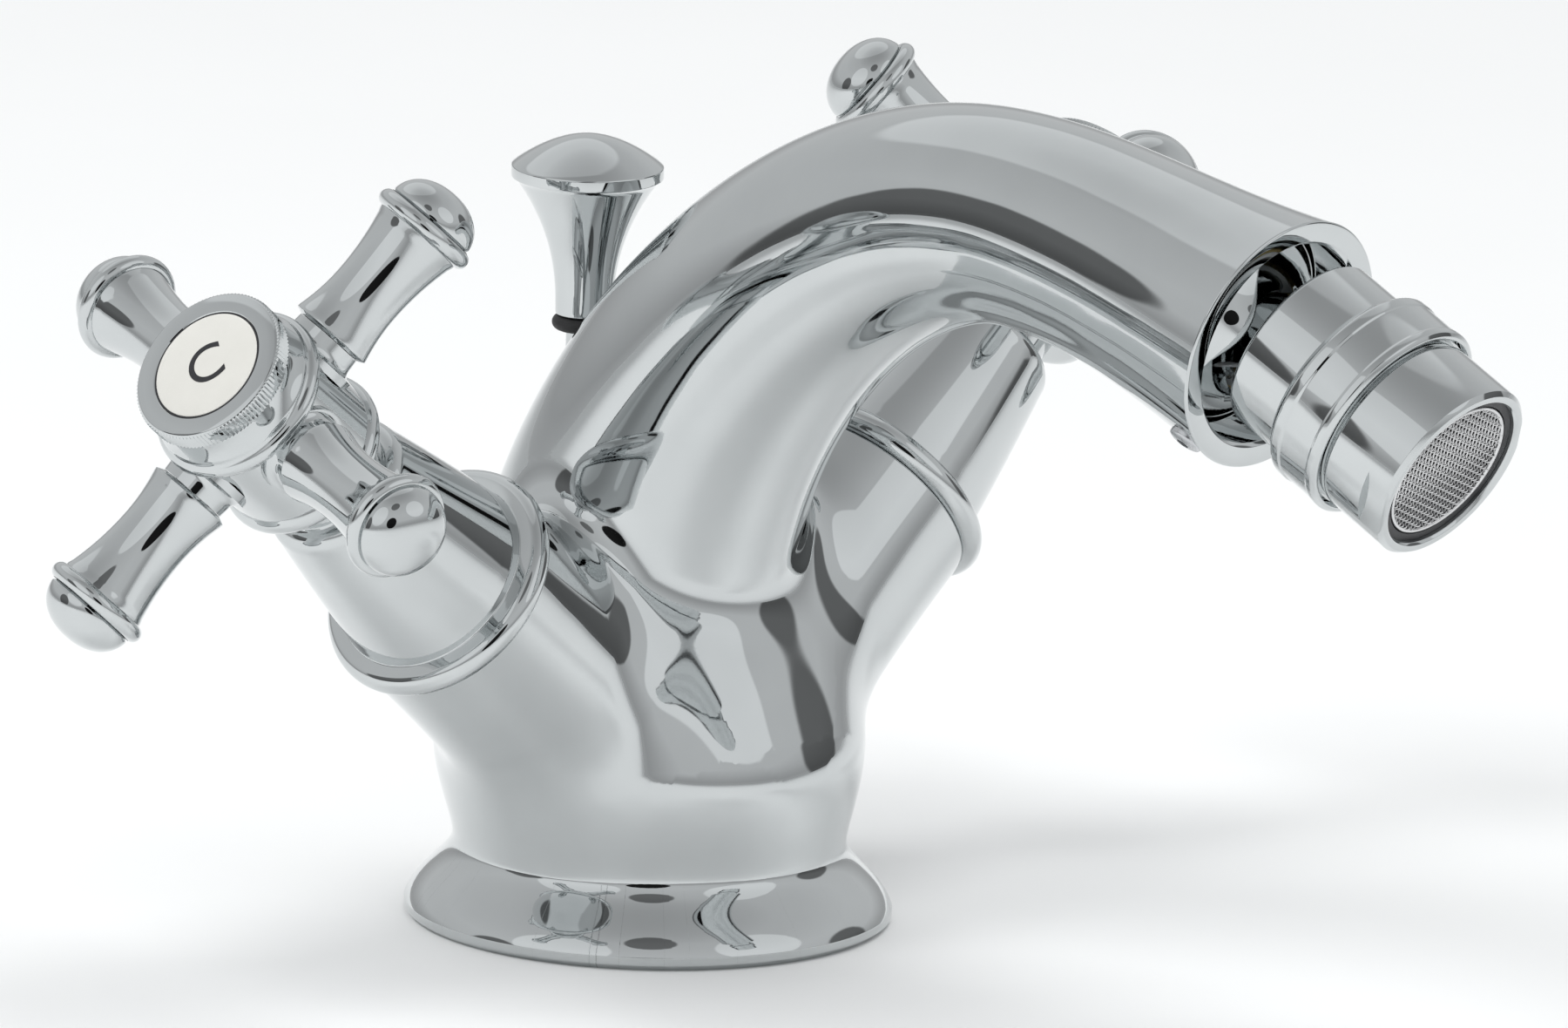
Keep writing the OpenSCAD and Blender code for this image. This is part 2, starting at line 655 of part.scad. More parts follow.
module aerator_sleeve() {
    flat_at = sleeve_r - 0.7;
    color(chrome) at_ball() difference() {
        union() {
            translate([0, 0, spigot_z]) cylinder(r = sleeve_thread_r, h = housing_front - spigot_z);
            translate([0, 0, housing_front]) cylinder(r = sleeve_r, h = sleeve_len - 0.4);
            translate([0, 0, sleeve_front - 0.4]) cylinder(r1 = sleeve_r, r2 = sleeve_r - 0.4, h = 0.4);
        }
        translate([0, 0, spigot_z - 1]) cylinder(r = insert_r + fit_gap, h = sleeve_front - lip_t - spigot_z + 1);
        cylinder(r = lip_r, h = 40);
        for (a = [20, 200]) rotate([0, 0, a]) translate([flat_at, -sleeve_r, sleeve_front - 3.6])
            cube([4, 2 * sleeve_r, 10]);
    }
}
module aerator_insert() {
    color(dark_plastic) at_ball() difference() {
        translate([0, 0, insert_back]) cylinder(r = insert_r, h = insert_front - insert_back);
        translate([0, 0, insert_front - 1]) cylinder(r = mesh_r + fit_gap, h = 10);
        translate([0, 0, insert_back + 1]) cylinder(r = mesh_r - 0.5, h = 20);
        for (k = [0:7]) rotate([0, 0, 45 * k]) translate([mesh_r * 0.6, 0, 0])
            cylinder(r = 1.4, h = 30, $fn = 24);
    }
}
wire_pitch = 1.5;
module aerator_mesh() {
    wires = floor(mesh_r / wire_pitch);
    color(steel) at_ball() translate([0, 0, insert_front - 1]) {
        ring(mesh_r, mesh_r - 0.5, 0.6);
        intersection() {
            cylinder(r = mesh_r - 0.1, h = 0.6);
            union() for (k = [-wires:wires]) {
                translate([k * wire_pitch - 0.2, -mesh_r, 0]) cube([0.4, 2 * mesh_r, 0.6]);
                translate([-mesh_r, k * wire_pitch - 0.2, 0]) cube([2 * mesh_r, 0.4, 0.6]);
            }
        }
    }
}
module aerator_gasket() {
    color(rubber) at_ball() translate([0, 0, spigot_z + 0.2])
        ring(insert_r, insert_r - 2.2, insert_back - spigot_z - 0.2);
}

// Lift rod with its knob
module lift_knob() {
    steps = 9;
    color(chrome) translate([0, rod_back, 0]) difference() {
        rotate_extrude($fn = 96) polygon(concat(
            [[0, stem_z], [stem_r - 0.2, stem_z]],
            [for (i = [0:steps]) let(t = i / steps) [stem_r + (knob_r - 0.5 - stem_r) * pow(t, 2.3),
                mix(stem_z + 0.2, knob_z - 0.2, t)]],
            [[knob_r, knob_z], [knob_r, knob_z + knob_rim_h]],
            [for (i = [1:8]) let(a = 90 * i / 8) [(knob_r - 0.2) * cos(a),
                knob_z + knob_rim_h + knob_dome_h * sin(a)]]
        ));
        translate([0, 0, stem_z - 1]) cylinder(r = rod_r + fit_gap, h = rod_in_knob + 1.2);
    }
}
module lift_rod() {
    color(chrome) translate([0, rod_back, rod_foot]) cylinder(r = rod_r, h = stem_z + rod_in_knob - rod_foot);
}
module rod_washer() {
    color(rubber) translate([0, rod_back, stem_z - washer_t - 0.05]) ring(washer_r, rod_r + fit_gap, washer_t);
}
module rod_bush() {
    color(white_plastic) translate([0, rod_back, bush_top - bush_len]) ring(bush_r, rod_r + run_gap, bush_len);
}

body();
base_gasket();
lock_screw();
valve_body(cold);  // cold_valve_body
fixed_disc(cold);  // cold_fixed_disc
seat_seal(cold);  // cold_seat_seal
valve_o_ring(cold);  // cold_valve_o_ring
bonnet(cold);  // cold_bonnet
spindle(cold);  // cold_spindle
spindle_o_rings(cold);  // cold_spindle_o_rings
spindle_clip(cold);  // cold_spindle_clip
moving_disc(cold);  // cold_moving_disc
handle_hub(cold);  // cold_handle_hub
handle_arms(cold);  // cold_handle_arms
handle_tips(cold);  // cold_handle_tips
cap_ring(cold);  // cold_cap_ring
index_disc(cold);  // cold_index_disc
handle_screw(cold);  // cold_handle_screw
valve_body(hot);  // hot_valve_body
fixed_disc(hot);  // hot_fixed_disc
seat_seal(hot);  // hot_seat_seal
valve_o_ring(hot);  // hot_valve_o_ring
bonnet(hot);  // hot_bonnet
spindle(hot);  // hot_spindle
spindle_o_rings(hot);  // hot_spindle_o_rings
spindle_clip(hot);  // hot_spindle_clip
moving_disc(hot);  // hot_moving_disc
handle_hub(hot);  // hot_handle_hub
handle_arms(hot);  // hot_handle_arms
handle_tips(hot);  // hot_handle_tips
cap_ring(hot);  // hot_cap_ring
index_disc(hot);  // hot_index_disc
handle_screw(hot);  // hot_handle_screw
ball_fitting();
fitting_gasket();
ball_seat();
seat_carrier();
swivel_collar();
aerator_housing();
aerator_sleeve();
aerator_insert();
aerator_mesh();
aerator_gasket();
lift_knob();
lift_rod();
rod_washer();
rod_bush();
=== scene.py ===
import json
import math

import bmesh
import bpy
import numpy as np
from mathutils import Matrix, Vector


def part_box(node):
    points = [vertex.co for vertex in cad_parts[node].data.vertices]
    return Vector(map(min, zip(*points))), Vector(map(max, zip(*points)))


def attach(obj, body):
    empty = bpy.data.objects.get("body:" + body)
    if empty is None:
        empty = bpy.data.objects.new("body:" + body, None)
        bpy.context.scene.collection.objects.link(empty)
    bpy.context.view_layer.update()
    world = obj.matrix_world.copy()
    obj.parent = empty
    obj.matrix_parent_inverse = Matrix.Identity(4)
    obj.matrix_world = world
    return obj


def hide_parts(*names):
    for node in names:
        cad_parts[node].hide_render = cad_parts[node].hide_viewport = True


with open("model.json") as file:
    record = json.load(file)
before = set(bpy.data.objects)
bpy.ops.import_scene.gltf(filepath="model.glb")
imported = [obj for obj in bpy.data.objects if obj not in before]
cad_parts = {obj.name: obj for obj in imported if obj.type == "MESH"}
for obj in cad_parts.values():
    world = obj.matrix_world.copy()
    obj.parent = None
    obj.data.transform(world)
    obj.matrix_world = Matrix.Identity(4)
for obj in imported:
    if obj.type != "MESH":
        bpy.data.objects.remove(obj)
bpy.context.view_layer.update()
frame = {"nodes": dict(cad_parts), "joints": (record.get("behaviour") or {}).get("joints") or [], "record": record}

# Pieces are drawn in millimetres in their own frames, and then placed in metres
MM = 0.001
joints = {joint["name"]: joint for joint in frame["joints"]}
nodes = frame["nodes"]
COLD, HOT = -1, 1
SIDES = {COLD: "cold", HOT: "hot"}


def link(made):
    """Puts a new object into the scene."""
    bpy.context.scene.collection.objects.link(made)


def shift(x, y, z):
    """Frame moved by that much."""
    return Matrix.Translation((x, y, z))


def spun(angle, axis="Z"):
    """Frame turned by an angle in degrees."""
    return Matrix.Rotation(math.radians(angle), 4, axis)


# ---------------- camera, floor and light
CAMERA_AZIMUTH = -47.72
CAMERA_ELEVATION = 13.16
CAMERA_ROLL = 1.6
CAMERA_DISTANCE = 4.0
CAMERA_LENS = 803.2
SENSOR_WIDTH = 36
AIM_RIGHT = 0.01436
AIM_UP = 0.04742


def directions(azimuth, elevation):
    """The camera's right, up and backward directions."""
    a, e = math.radians(azimuth), math.radians(elevation)
    back = Vector((math.sin(a) * math.cos(e), -math.cos(a) * math.cos(e), math.sin(e)))
    right = Vector((math.cos(a), math.sin(a), 0))
    return right, back.cross(right), back


def set_camera():
    """A long lens, far off and rolled a little."""
    right, up, back = directions(CAMERA_AZIMUTH, CAMERA_ELEVATION)
    aim = right * AIM_RIGHT + Vector((0, 0, AIM_UP))
    roll = Matrix.Rotation(math.radians(CAMERA_ROLL), 3, "Z")
    turn = Matrix((right, up, back)).transposed() @ roll
    data = bpy.data.cameras.new("camera")
    data.lens = CAMERA_LENS
    data.sensor_width = SENSOR_WIDTH
    data.clip_end = 100
    camera = bpy.data.objects.new("camera", data)
    camera.matrix_world = Matrix.Translation(aim + back * CAMERA_DISTANCE) @ turn.to_4x4()
    link(camera)
    bpy.context.scene.camera = camera


# ---------------- shader maths
class Value:
    """A socket in a node tree. Sums on it add Math nodes."""

    def __init__(self, tree, socket=None):
        self.tree, self.socket = tree, socket

    def node(self, kind, settings=None, inputs=None, output=0):
        """Adds a node, sets it up, fills or links its sockets, and gives one of its outputs."""
        made = self.tree.nodes.new("ShaderNode" + kind)
        for name, value in (settings or {}).items():
            if name == "stops":
                while len(made.color_ramp.elements) < len(value):
                    made.color_ramp.elements.new(0.5)
                for element, (place, level) in zip(made.color_ramp.elements, value):
                    element.position = place
                    element.color = (level, level, level, 1)
            else:
                setattr(made, name, value)
        for name, value in (inputs or {}).items():
            if isinstance(value, Value):
                self.tree.links.new(value.socket, made.inputs[name])
            else:
                made.inputs[name].default_value = value
        return Value(self.tree, made.outputs[output]) if made.outputs else None

    def maths(self, operation, *values):
        """Adds a Math node."""
        return self.node("Math", {"operation": operation}, dict(enumerate(values)))

    def __add__(self, other):
        return self.maths("ADD", self, other)

    def __mul__(self, other):
        return self.maths("MULTIPLY", self, other)

    def __sub__(self, other):
        return self.maths("SUBTRACT", self, other)

    def __rsub__(self, other):
        return self.maths("SUBTRACT", other, self)

    __radd__, __rmul__ = __add__, __mul__

    def limits(self, low, high, to_low=0.0, to_high=1.0):
        """Follows a smooth step from one pair of values to another."""
        return self.node("MapRange", {"interpolation_type": "SMOOTHSTEP"}, {
            "Value": self, "From Min": low, "From Max": high, "To Min": to_low, "To Max": to_high})


# Strength of the tent's wall, by the sine of the elevation
TENT_WALL = [(0.0, 0.5), (0.04, 0.44), (0.1, 0.5), (0.22, 0.66), (0.45, 0.68), (0.8, 0.6), (1.0, 0.42)]
TENT_COLOUR = (0.975, 0.99, 1.0, 1)
# Round patches of the tent: azimuth, elevation, inner and outer radius in degrees, and gain
TENT_PATCHES = [
    (-47.7, 12, 12, 13, 0.02),
    (-92, 30, 22, 24, 1.4),
    (14, 34, 19, 21, 1.4),
    (-45, 54, 9, 11, 0.3),
    (-125, 10, 12, 15, 0.25),
    (62, 8, 12, 16, 0.25),
    (150, 58, 26, 30, 1.35),
]
# Lamps: name, azimuth, elevation, distance, size and power
LIGHTS = [("key", -115, 50, 1.3, 0.5, 5.2), ("top", 40, 75, 1.3, 0.8, 6.2)]


def set_world():
    """A light tent that the chrome mirrors: a pale wall, brighter patches and dark gaps."""
    world = bpy.data.worlds.new("tent")
    bpy.context.scene.world = world
    world.use_nodes = True
    tree = world.node_tree
    tree.nodes.clear()
    start = Value(tree)
    way = start.node("TexCoord", output="Generated")
    height = start.node("SeparateXYZ", inputs={0: way}, output=2)

    def patch(azimuth, elevation, inner, outer):
        """Mask of a round patch of the tent, from its azimuth and elevation and its radii in degrees."""
        aim = directions(azimuth, elevation)[2]
        near = start.node("VectorMath", {"operation": "DOT_PRODUCT"}, {0: way, 1: aim}, output="Value")
        return near.limits(math.cos(math.radians(outer)), math.cos(math.radians(inner)))

    level = start.node("ValToRGB", {"stops": TENT_WALL}, {0: height})
    for azimuth, elevation, inner, outer, gain in TENT_PATCHES:
        level = level * patch(azimuth, elevation, inner, outer).limits(0, 1, 1, gain)
    light = start.node("Background", {}, {"Color": TENT_COLOUR, "Strength": level})
    start.node("OutputWorld", {}, {"Surface": light})


def set_lights():
    """Lamps that light the floor and the soft shadows, but don't show in the chrome."""
    for name, azimuth, elevation, distance, size, power in LIGHTS:
        data = bpy.data.lights.new(name, "AREA")
        data.shape = "DISK"
        data.size = size
        data.energy = power
        light = bpy.data.objects.new(name, data)
        light.visible_glossy = False
        right, up, back = directions(azimuth, elevation)
        turn = Matrix((right, up, back)).transposed().to_4x4()
        light.matrix_world = Matrix.Translation(back * distance) @ turn
        link(light)


# ---------------- materials
def material(name, make):
    """A material whose Principled shader is filled in by make."""
    made = bpy.data.materials.new(name)
    made.use_nodes = True
    tree = made.node_tree
    tree.nodes.clear()
    start = Value(tree)
    place = start.node("TexCoord", output="Object")
    sockets = make(start, place)
    shader = start.node("BsdfPrincipled", {}, sockets)
    start.node("OutputMaterial", {}, {"Surface": shader})
    return made


def noise(start, place, size, detail=2.0, roughness=0.5):
    """Noise whose lumps are about that many millimetres across."""
    return start.node("TexNoise", {}, {"Vector": place, "Scale": 1 / (size * MM), "Detail": detail,
                                       "Roughness": roughness})


def bump(start, height, depth, normal=None):
    """Normal bent by a height from 0 to 1 that stands for that many millimetres."""
    inputs = {"Height": height, "Distance": depth * MM, "Strength": 1.0}
    if normal:
        inputs["Normal"] = normal
    return start.node("Bump", {}, inputs)


def tint(start, factor, dark, light):
    """Colour between two others."""
    return start.node("Mix", {"data_type": "RGBA"}, {0: factor, 6: (*dark, 1), 7: (*light, 1)}, output=2)


def plated(wave):
    """Polished chrome plate: waviness that many millimetres deep, faint haze and hairline marks."""
    def make(start, place):
        cloud = noise(start, place, 9, 3)
        fine = noise(start, place, 0.5, 3)
        drawn = start.node("VectorMath", {"operation": "MULTIPLY"}, {0: place, 1: (1.0, 1.0, 14.0)})
        lines = start.node("TexNoise", {}, {"Vector": drawn, "Scale": 420, "Detail": 2.0})
        ripple = bump(start, noise(start, place, 11, 1), wave)
        return {
            "Base Color": tint(start, cloud, (0.56, 0.582, 0.588), (0.62, 0.642, 0.646)),
            "Metallic": 1.0,
            "Roughness": 0.022 + 0.03 * cloud.limits(0.35, 0.75) + 0.02 * lines.limits(0.55, 0.75),
            "Normal": bump(start, fine, 0.0002, ripple),
        }
    return make


def turned_brass(start, place):
    """Brass with the fine rings that a lathe leaves."""
    rings = start.node("TexWave", {"wave_type": "BANDS", "bands_direction": "Z"}, {
        "Vector": place, "Scale": 900, "Distortion": 1.5, "Detail": 2.0}, output=1)
    cloud = noise(start, place, 4, 3)
    return {"Base Color": tint(start, cloud, (0.66, 0.47, 0.19), (0.78, 0.6, 0.28)), "Metallic": 1.0,
            "Roughness": 0.22 + 0.14 * cloud, "Normal": bump(start, rings, 0.004)}


def clouded(size, detail, dark, light, rough, gain, grain=None, **others):
    """Plain finish: colour and roughness follow one noise, and grain gives a bump's size, detail and depth."""
    def make(start, place):
        cloud = noise(start, place, size, detail)
        sockets = {"Base Color": tint(start, cloud, dark, light), "Roughness": rough + gain * cloud, **others}
        if grain:
            sockets["Normal"] = bump(start, noise(start, place, *grain[:2]), grain[2])
        return sockets
    return make


def glazed_disc(start, place):
    """Cream porcelain under a clear glaze."""
    cloud = noise(start, place, 3.5, 4)
    specks = noise(start, place, 0.35, 2).limits(0.62, 0.7)
    shade = cloud * 0.8 + specks * 0.2
    return {"Base Color": tint(start, shade, (0.69, 0.68, 0.635), (0.76, 0.75, 0.705)),
            "Roughness": 0.12 + 0.08 * cloud, "Coat Weight": 0.7, "Coat Roughness": 0.04,
            "Normal": bump(start, noise(start, place, 2.5, 1), 0.004)}


def moulded_black(start, place):
    """Dark moulded plastic with a fine grain."""
    grain = noise(start, place, 0.18, 4)
    return {"Base Color": tint(start, noise(start, place, 2, 3), (0.015, 0.015, 0.017), (0.04, 0.04, 0.043)),
            "Roughness": 0.36 + 0.2 * grain, "Normal": bump(start, grain, 0.006)}


METAL = {"Metallic": 1.0}
FINISHES = {name: material(name, make) for name, make in {
    "chrome": plated(0.02),
    "cast_chrome": plated(0.05),
    "brass": turned_brass,
    "steel": clouded(2, 4, (0.52, 0.53, 0.55), (0.66, 0.67, 0.68), 0.2, 0.16, (0.3, 2, 0.002), **METAL),
    "steel_mesh": clouded(1.2, 3, (0.62, 0.62, 0.63), (0.8, 0.8, 0.8), 0.24, 0.14, **METAL),
    # black_rubber also dresses the lift rod's washer, where its black is painted shade under the knob
    "black_rubber": clouded(3, 3, (0.012, 0.012, 0.013), (0.035, 0.035, 0.036), 0.5, 0.25, (0.25, 4, 0.01),
                            **{"Specular IOR Level": 0.4}),
    "alumina": clouded(0.4, 5, (0.86, 0.85, 0.82), (0.94, 0.93, 0.91), 0.16, 0.1),
    "index_ceramic": glazed_disc,
    # ink is the letters' print, and also the black ring of painted shade in the groove round the index disc
    "ink": clouded(0.5, 3, (0.01, 0.01, 0.012), (0.03, 0.03, 0.034), 0.3, 0.2),
    "white_plastic": clouded(1.5, 4, (0.8, 0.8, 0.79), (0.87, 0.87, 0.86), 0.34, 0.14, (0.3, 3, 0.004)),
    "dark_plastic": moulded_black,
    "floor": clouded(60, 3, (0.9, 0.905, 0.905), (0.915, 0.92, 0.92), 0.6, 0.1, **{"Specular IOR Level": 0.1}),
}.items()}
FLOOR_R = 30


def set_floor():
    """A plain disc, wide enough to fill the view."""
    bm = bmesh.new()
    bmesh.ops.create_circle(bm, cap_ends=True, segments=96, radius=FLOOR_R)
    mesh = bpy.data.meshes.new("floor")
    bm.to_mesh(mesh)
    floor = bpy.data.objects.new("floor", mesh)
    mesh.materials.append(FINISHES["floor"])
    link(floor)


# ---------------- mesh helpers
SHARP = math.radians(32)
SPIN_STEPS = 144


def arc(centre, radius, start, end, steps=8):
    """Points of a circular arc in a profile, angles in degrees."""
    angles = [math.radians(start + (end - start) * i / steps) for i in range(steps + 1)]
    return [(centre[0] + radius * math.cos(a), centre[1] + radius * math.sin(a)) for a in angles]


def between(a, b, t):
    """Value that share t of the way from a to b."""
    return a + (b - a) * t


def rounded(points, steps=4):
    """A profile whose corners given as (r, z, radius) are rounded."""
    made = []
    for i, point in enumerate(points):
        if len(point) < 3 or i in (0, len(points) - 1):
            made.append(Vector(point[:2]))
            continue
        corner = Vector(point[:2])
        back, on = (Vector(points[i - 1][:2]) - corner), (Vector(points[i + 1][:2]) - corner)
        half = back.angle(on) / 2
        reach = min(point[2] / math.tan(half), 0.49 * back.length, 0.49 * on.length)
        radius = reach * math.tan(half)
        centre = corner + (back.normalized() + on.normalized()).normalized() * radius / math.sin(half)
        first = corner + back.normalized() * reach - centre
        last = corner + on.normalized() * reach - centre
        turn = first.angle_signed(last)
        for k in range(steps + 1):
            made.append(centre + Matrix.Rotation(-turn * k / steps, 2) @ first)
    return [(p[0], p[1]) for p in made]


def turned(bm, profile, place=None, steps=SPIN_STEPS, closed=False):
    """Adds a turned solid to bm: the profile is spun round the frame's Z axis."""
    verts = [bm.verts.new((max(r, 0), 0, z)) for r, z in profile]
    edges = [bm.edges.new(pair) for pair in zip(verts, verts[1:])]
    if closed:
        edges.append(bm.edges.new((verts[-1], verts[0])))
    known = set(bm.verts) - set(verts)
    bmesh.ops.spin(bm, geom=verts + edges, cent=(0, 0, 0), axis=(0, 0, 1), angle=2 * math.pi,
                   steps=steps, use_merge=True)
    made = [v for v in bm.verts if v not in known]
    bmesh.ops.remove_doubles(bm, verts=made, dist=1e-4)
    made = [v for v in bm.verts if v not in known]
    faces = list(dict.fromkeys(f for v in made for f in v.link_faces))
    bmesh.ops.recalc_face_normals(bm, faces=faces)
    if place:
        bmesh.ops.transform(bm, matrix=place, verts=made)
    return made


def shade(bm):
    """Smooth faces, with crisp edges where they meet at a large angle."""
    for face in bm.faces:
        face.smooth = True
    for edge in bm.edges:
        edge.smooth = len(edge.link_faces) == 2 and edge.calc_face_angle(0) < SHARP


def mesh_object(bm, name):
    """Puts a bmesh drawn in millimetres into an object in metres."""
    bmesh.ops.transform(bm, matrix=Matrix.Scale(MM, 4), verts=bm.verts)
    shade(bm)
    mesh = bpy.data.meshes.new(name)
    bm.to_mesh(mesh)
    bm.free()
    made = bpy.data.objects.new(name, mesh)
    link(made)
    return made


def dress(piece, finish, body, replaces=()):
    """Gives a piece its finish, the body that it rides on and the node that it stands for."""
    piece.data.materials.clear()
    piece.data.materials.append(FINISHES[finish])
    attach(piece, body)
    if replaces:
        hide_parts(*replaces)
    return piece


def lathe(name, profile, place, finish, body, steps=SPIN_STEPS, closed=False, node=None):
    """A turned piece, and the CAD node that it stands for."""
    bm = bmesh.new()
    turned(bm, profile, place, steps, closed)
    return dress(mesh_object(bm, name), finish, body, [node] if node else [])


def worked(piece):
    """A copy of an object's mesh, with its modifiers worked out."""
    bpy.context.view_layer.update()
    return bpy.data.meshes.new_from_object(piece.evaluated_get(bpy.context.evaluated_depsgraph_get()))


def taken(mesh):
    """Takes a mesh over into a bmesh."""
    bm = bmesh.new()
    bm.from_mesh(mesh)
    bpy.data.meshes.remove(mesh)
    return bm


def curve_mesh(curve):
    """A text or curve as a bmesh."""
    made = bpy.data.objects.new(curve.name, curve)
    link(made)
    mesh = worked(made)
    bpy.data.objects.remove(made)
    return taken(mesh)


def cut(piece, tools):
    """Cuts tools out of a piece."""
    for tool in tools:
        step = piece.modifiers.new("cut", "BOOLEAN")
        step.operation = "DIFFERENCE"
        step.solver = "MANIFOLD"
        step.object = tool
    result = worked(piece)
    piece.modifiers.clear()
    old, piece.data = piece.data, result
    bpy.data.meshes.remove(old)
    for tool in tools:
        bpy.data.objects.remove(tool)


def moved(piece, place):
    """A piece worked in its own frame, brought to its place."""
    name, bm = piece.name, bmesh.new()
    bm.from_mesh(piece.data)
    bpy.data.objects.remove(piece)
    bmesh.ops.transform(bm, matrix=place @ Matrix.Scale(1 / MM, 4), verts=bm.verts)
    return mesh_object(bm, name)


def rod_shape(radius, low, high, place, steps=64):
    """A plain cylinder used as a cutting tool."""
    bm = bmesh.new()
    turned(bm, [(0, low), (radius, low), (radius, high), (0, high)], place, steps)
    return mesh_object(bm, "tool")


# ---------------- places
ARM_LEN = 45.2
BALL_AHEAD = 9.6


def axis_frame(joint, side):
    """Frame at a joint's point, turned so that Z runs along its inclined axis."""
    tilt = math.asin(joint["axis"][2])
    point = Vector(joint["pos_m"]) / MM
    return Matrix.Translation(point) @ Matrix.Rotation(side * (math.pi / 2 - tilt), 4, "Y")


ball = Vector(joints["aerator_pitch"]["pos_m"]) / MM
spin_axis = Vector(joints["aerator_spin"]["axis"])
mouth_up = Vector(joints["aerator_yaw"]["axis"])
mouth_out = Vector((1, 0, 0)).cross(mouth_up)
MOUTH = Matrix.Translation(ball - mouth_out * BALL_AHEAD) @ Matrix.Rotation(
    math.pi / 2 + math.asin(-mouth_out.z), 4, "X")
BALL = (Matrix.Translation(ball) @ Matrix.Rotation(math.atan2(spin_axis.x, -spin_axis.y), 4, "Z")
        @ Matrix.Rotation(math.pi / 2 + math.asin(-spin_axis.z), 4, "X"))
AXES = {side: axis_frame(joints[SIDES[side] + "_turn"], side) for side in SIDES}
ARM_ENDS = {side: AXES[side] @ shift(0, 0, ARM_LEN) for side in SIDES}

rod_low, rod_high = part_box("lift_rod")
ROD = shift(0, (rod_low.y + rod_high.y) / 2 / MM, 0)
STEM_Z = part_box("lift_knob")[0].z / MM


# ---------------- body casting
BASE_R, WAIST_R, WAIST_Z, RIM_H = 28.0, 22.3, 12.0, 1.6
DOME_H, DOME_POWER = 27.0, 2.6
FLARE_Z, FLARE_W = 6.0, 1.1
BORE_R, ARM_END_R, ARM_SWELL, ARM_POWER = 10.48, 13.28, 4.6, 2.4
MOUTH_R, RECESS_R, SPOUT_R, ROOT_R = 15.1, 12.2, 12.2, 21.0
CREST_F, CREST_Z, ROOT_Z = 54.05, 91.0, 12.0
# Control points of the spout's line: how far they stand from the root, the crest and the mouth
ROOT_LEAN, CREST_REAR, CREST_FRONT, MOUTH_REAR = (-17, 44), 35, 12, 16
ARM_FILLET, BASE_FILLET = 8.0, 9.0
FILLET_LOW, FILLET_RISE = 6.0, 16.0
CUT_Z = 9.0
VOXEL = 0.65
EDGE_ROUND = 0.35
INLET_X, INLET_R, INLET_Z = 9.6, 5.0, 12.0
PASSAGE_R, PASSAGE_Z = 3.8, 24.0
STUD_Y, STUD_R, STUD_Z = -12.0, 4.0, 16.0
ROD_BORE_R, ROD_BORE_Z, WASHER_T = 2.25, 70.0, 1.7
ROD_POCKET_R, ROD_POCKET_Z = 4.35, STEM_Z - WASHER_T - 0.4
VALVE_BORE_Z, SEAT_BORE_Z = -20.85, -33.0
GASKET_R, GASKET_HOLE_R, GASKET_Z = 25.6, 21.6, 2.0


def cubic(points, t):
    """Points of a Bezier curve from its four control points."""
    a, b, c, d = (np.array(p, float) for p in points)
    t = t[:, None]
    return (1 - t) ** 3 * a + 3 * (1 - t) ** 2 * t * b + 3 * (1 - t) * t ** 2 * c + t ** 3 * d


def eased(values, width):
    """Values smoothed along the line, with their slopes kept at both ends."""
    half = width // 2
    before = 2 * values[0] - values[half:0:-1]
    after = 2 * values[-1] - values[-2:-half - 2:-1]
    window = np.hanning(2 * half + 3)[1:-1]
    return np.convolve(np.concatenate([before, values, after]), window / window.sum(), "valid")


def evened(value, grad):
    """A field and its gradient, scaled so that the field is close to a distance."""
    size = np.maximum(np.linalg.norm(grad, axis=1), 1e-6)
    return value / size, grad / size[:, None]


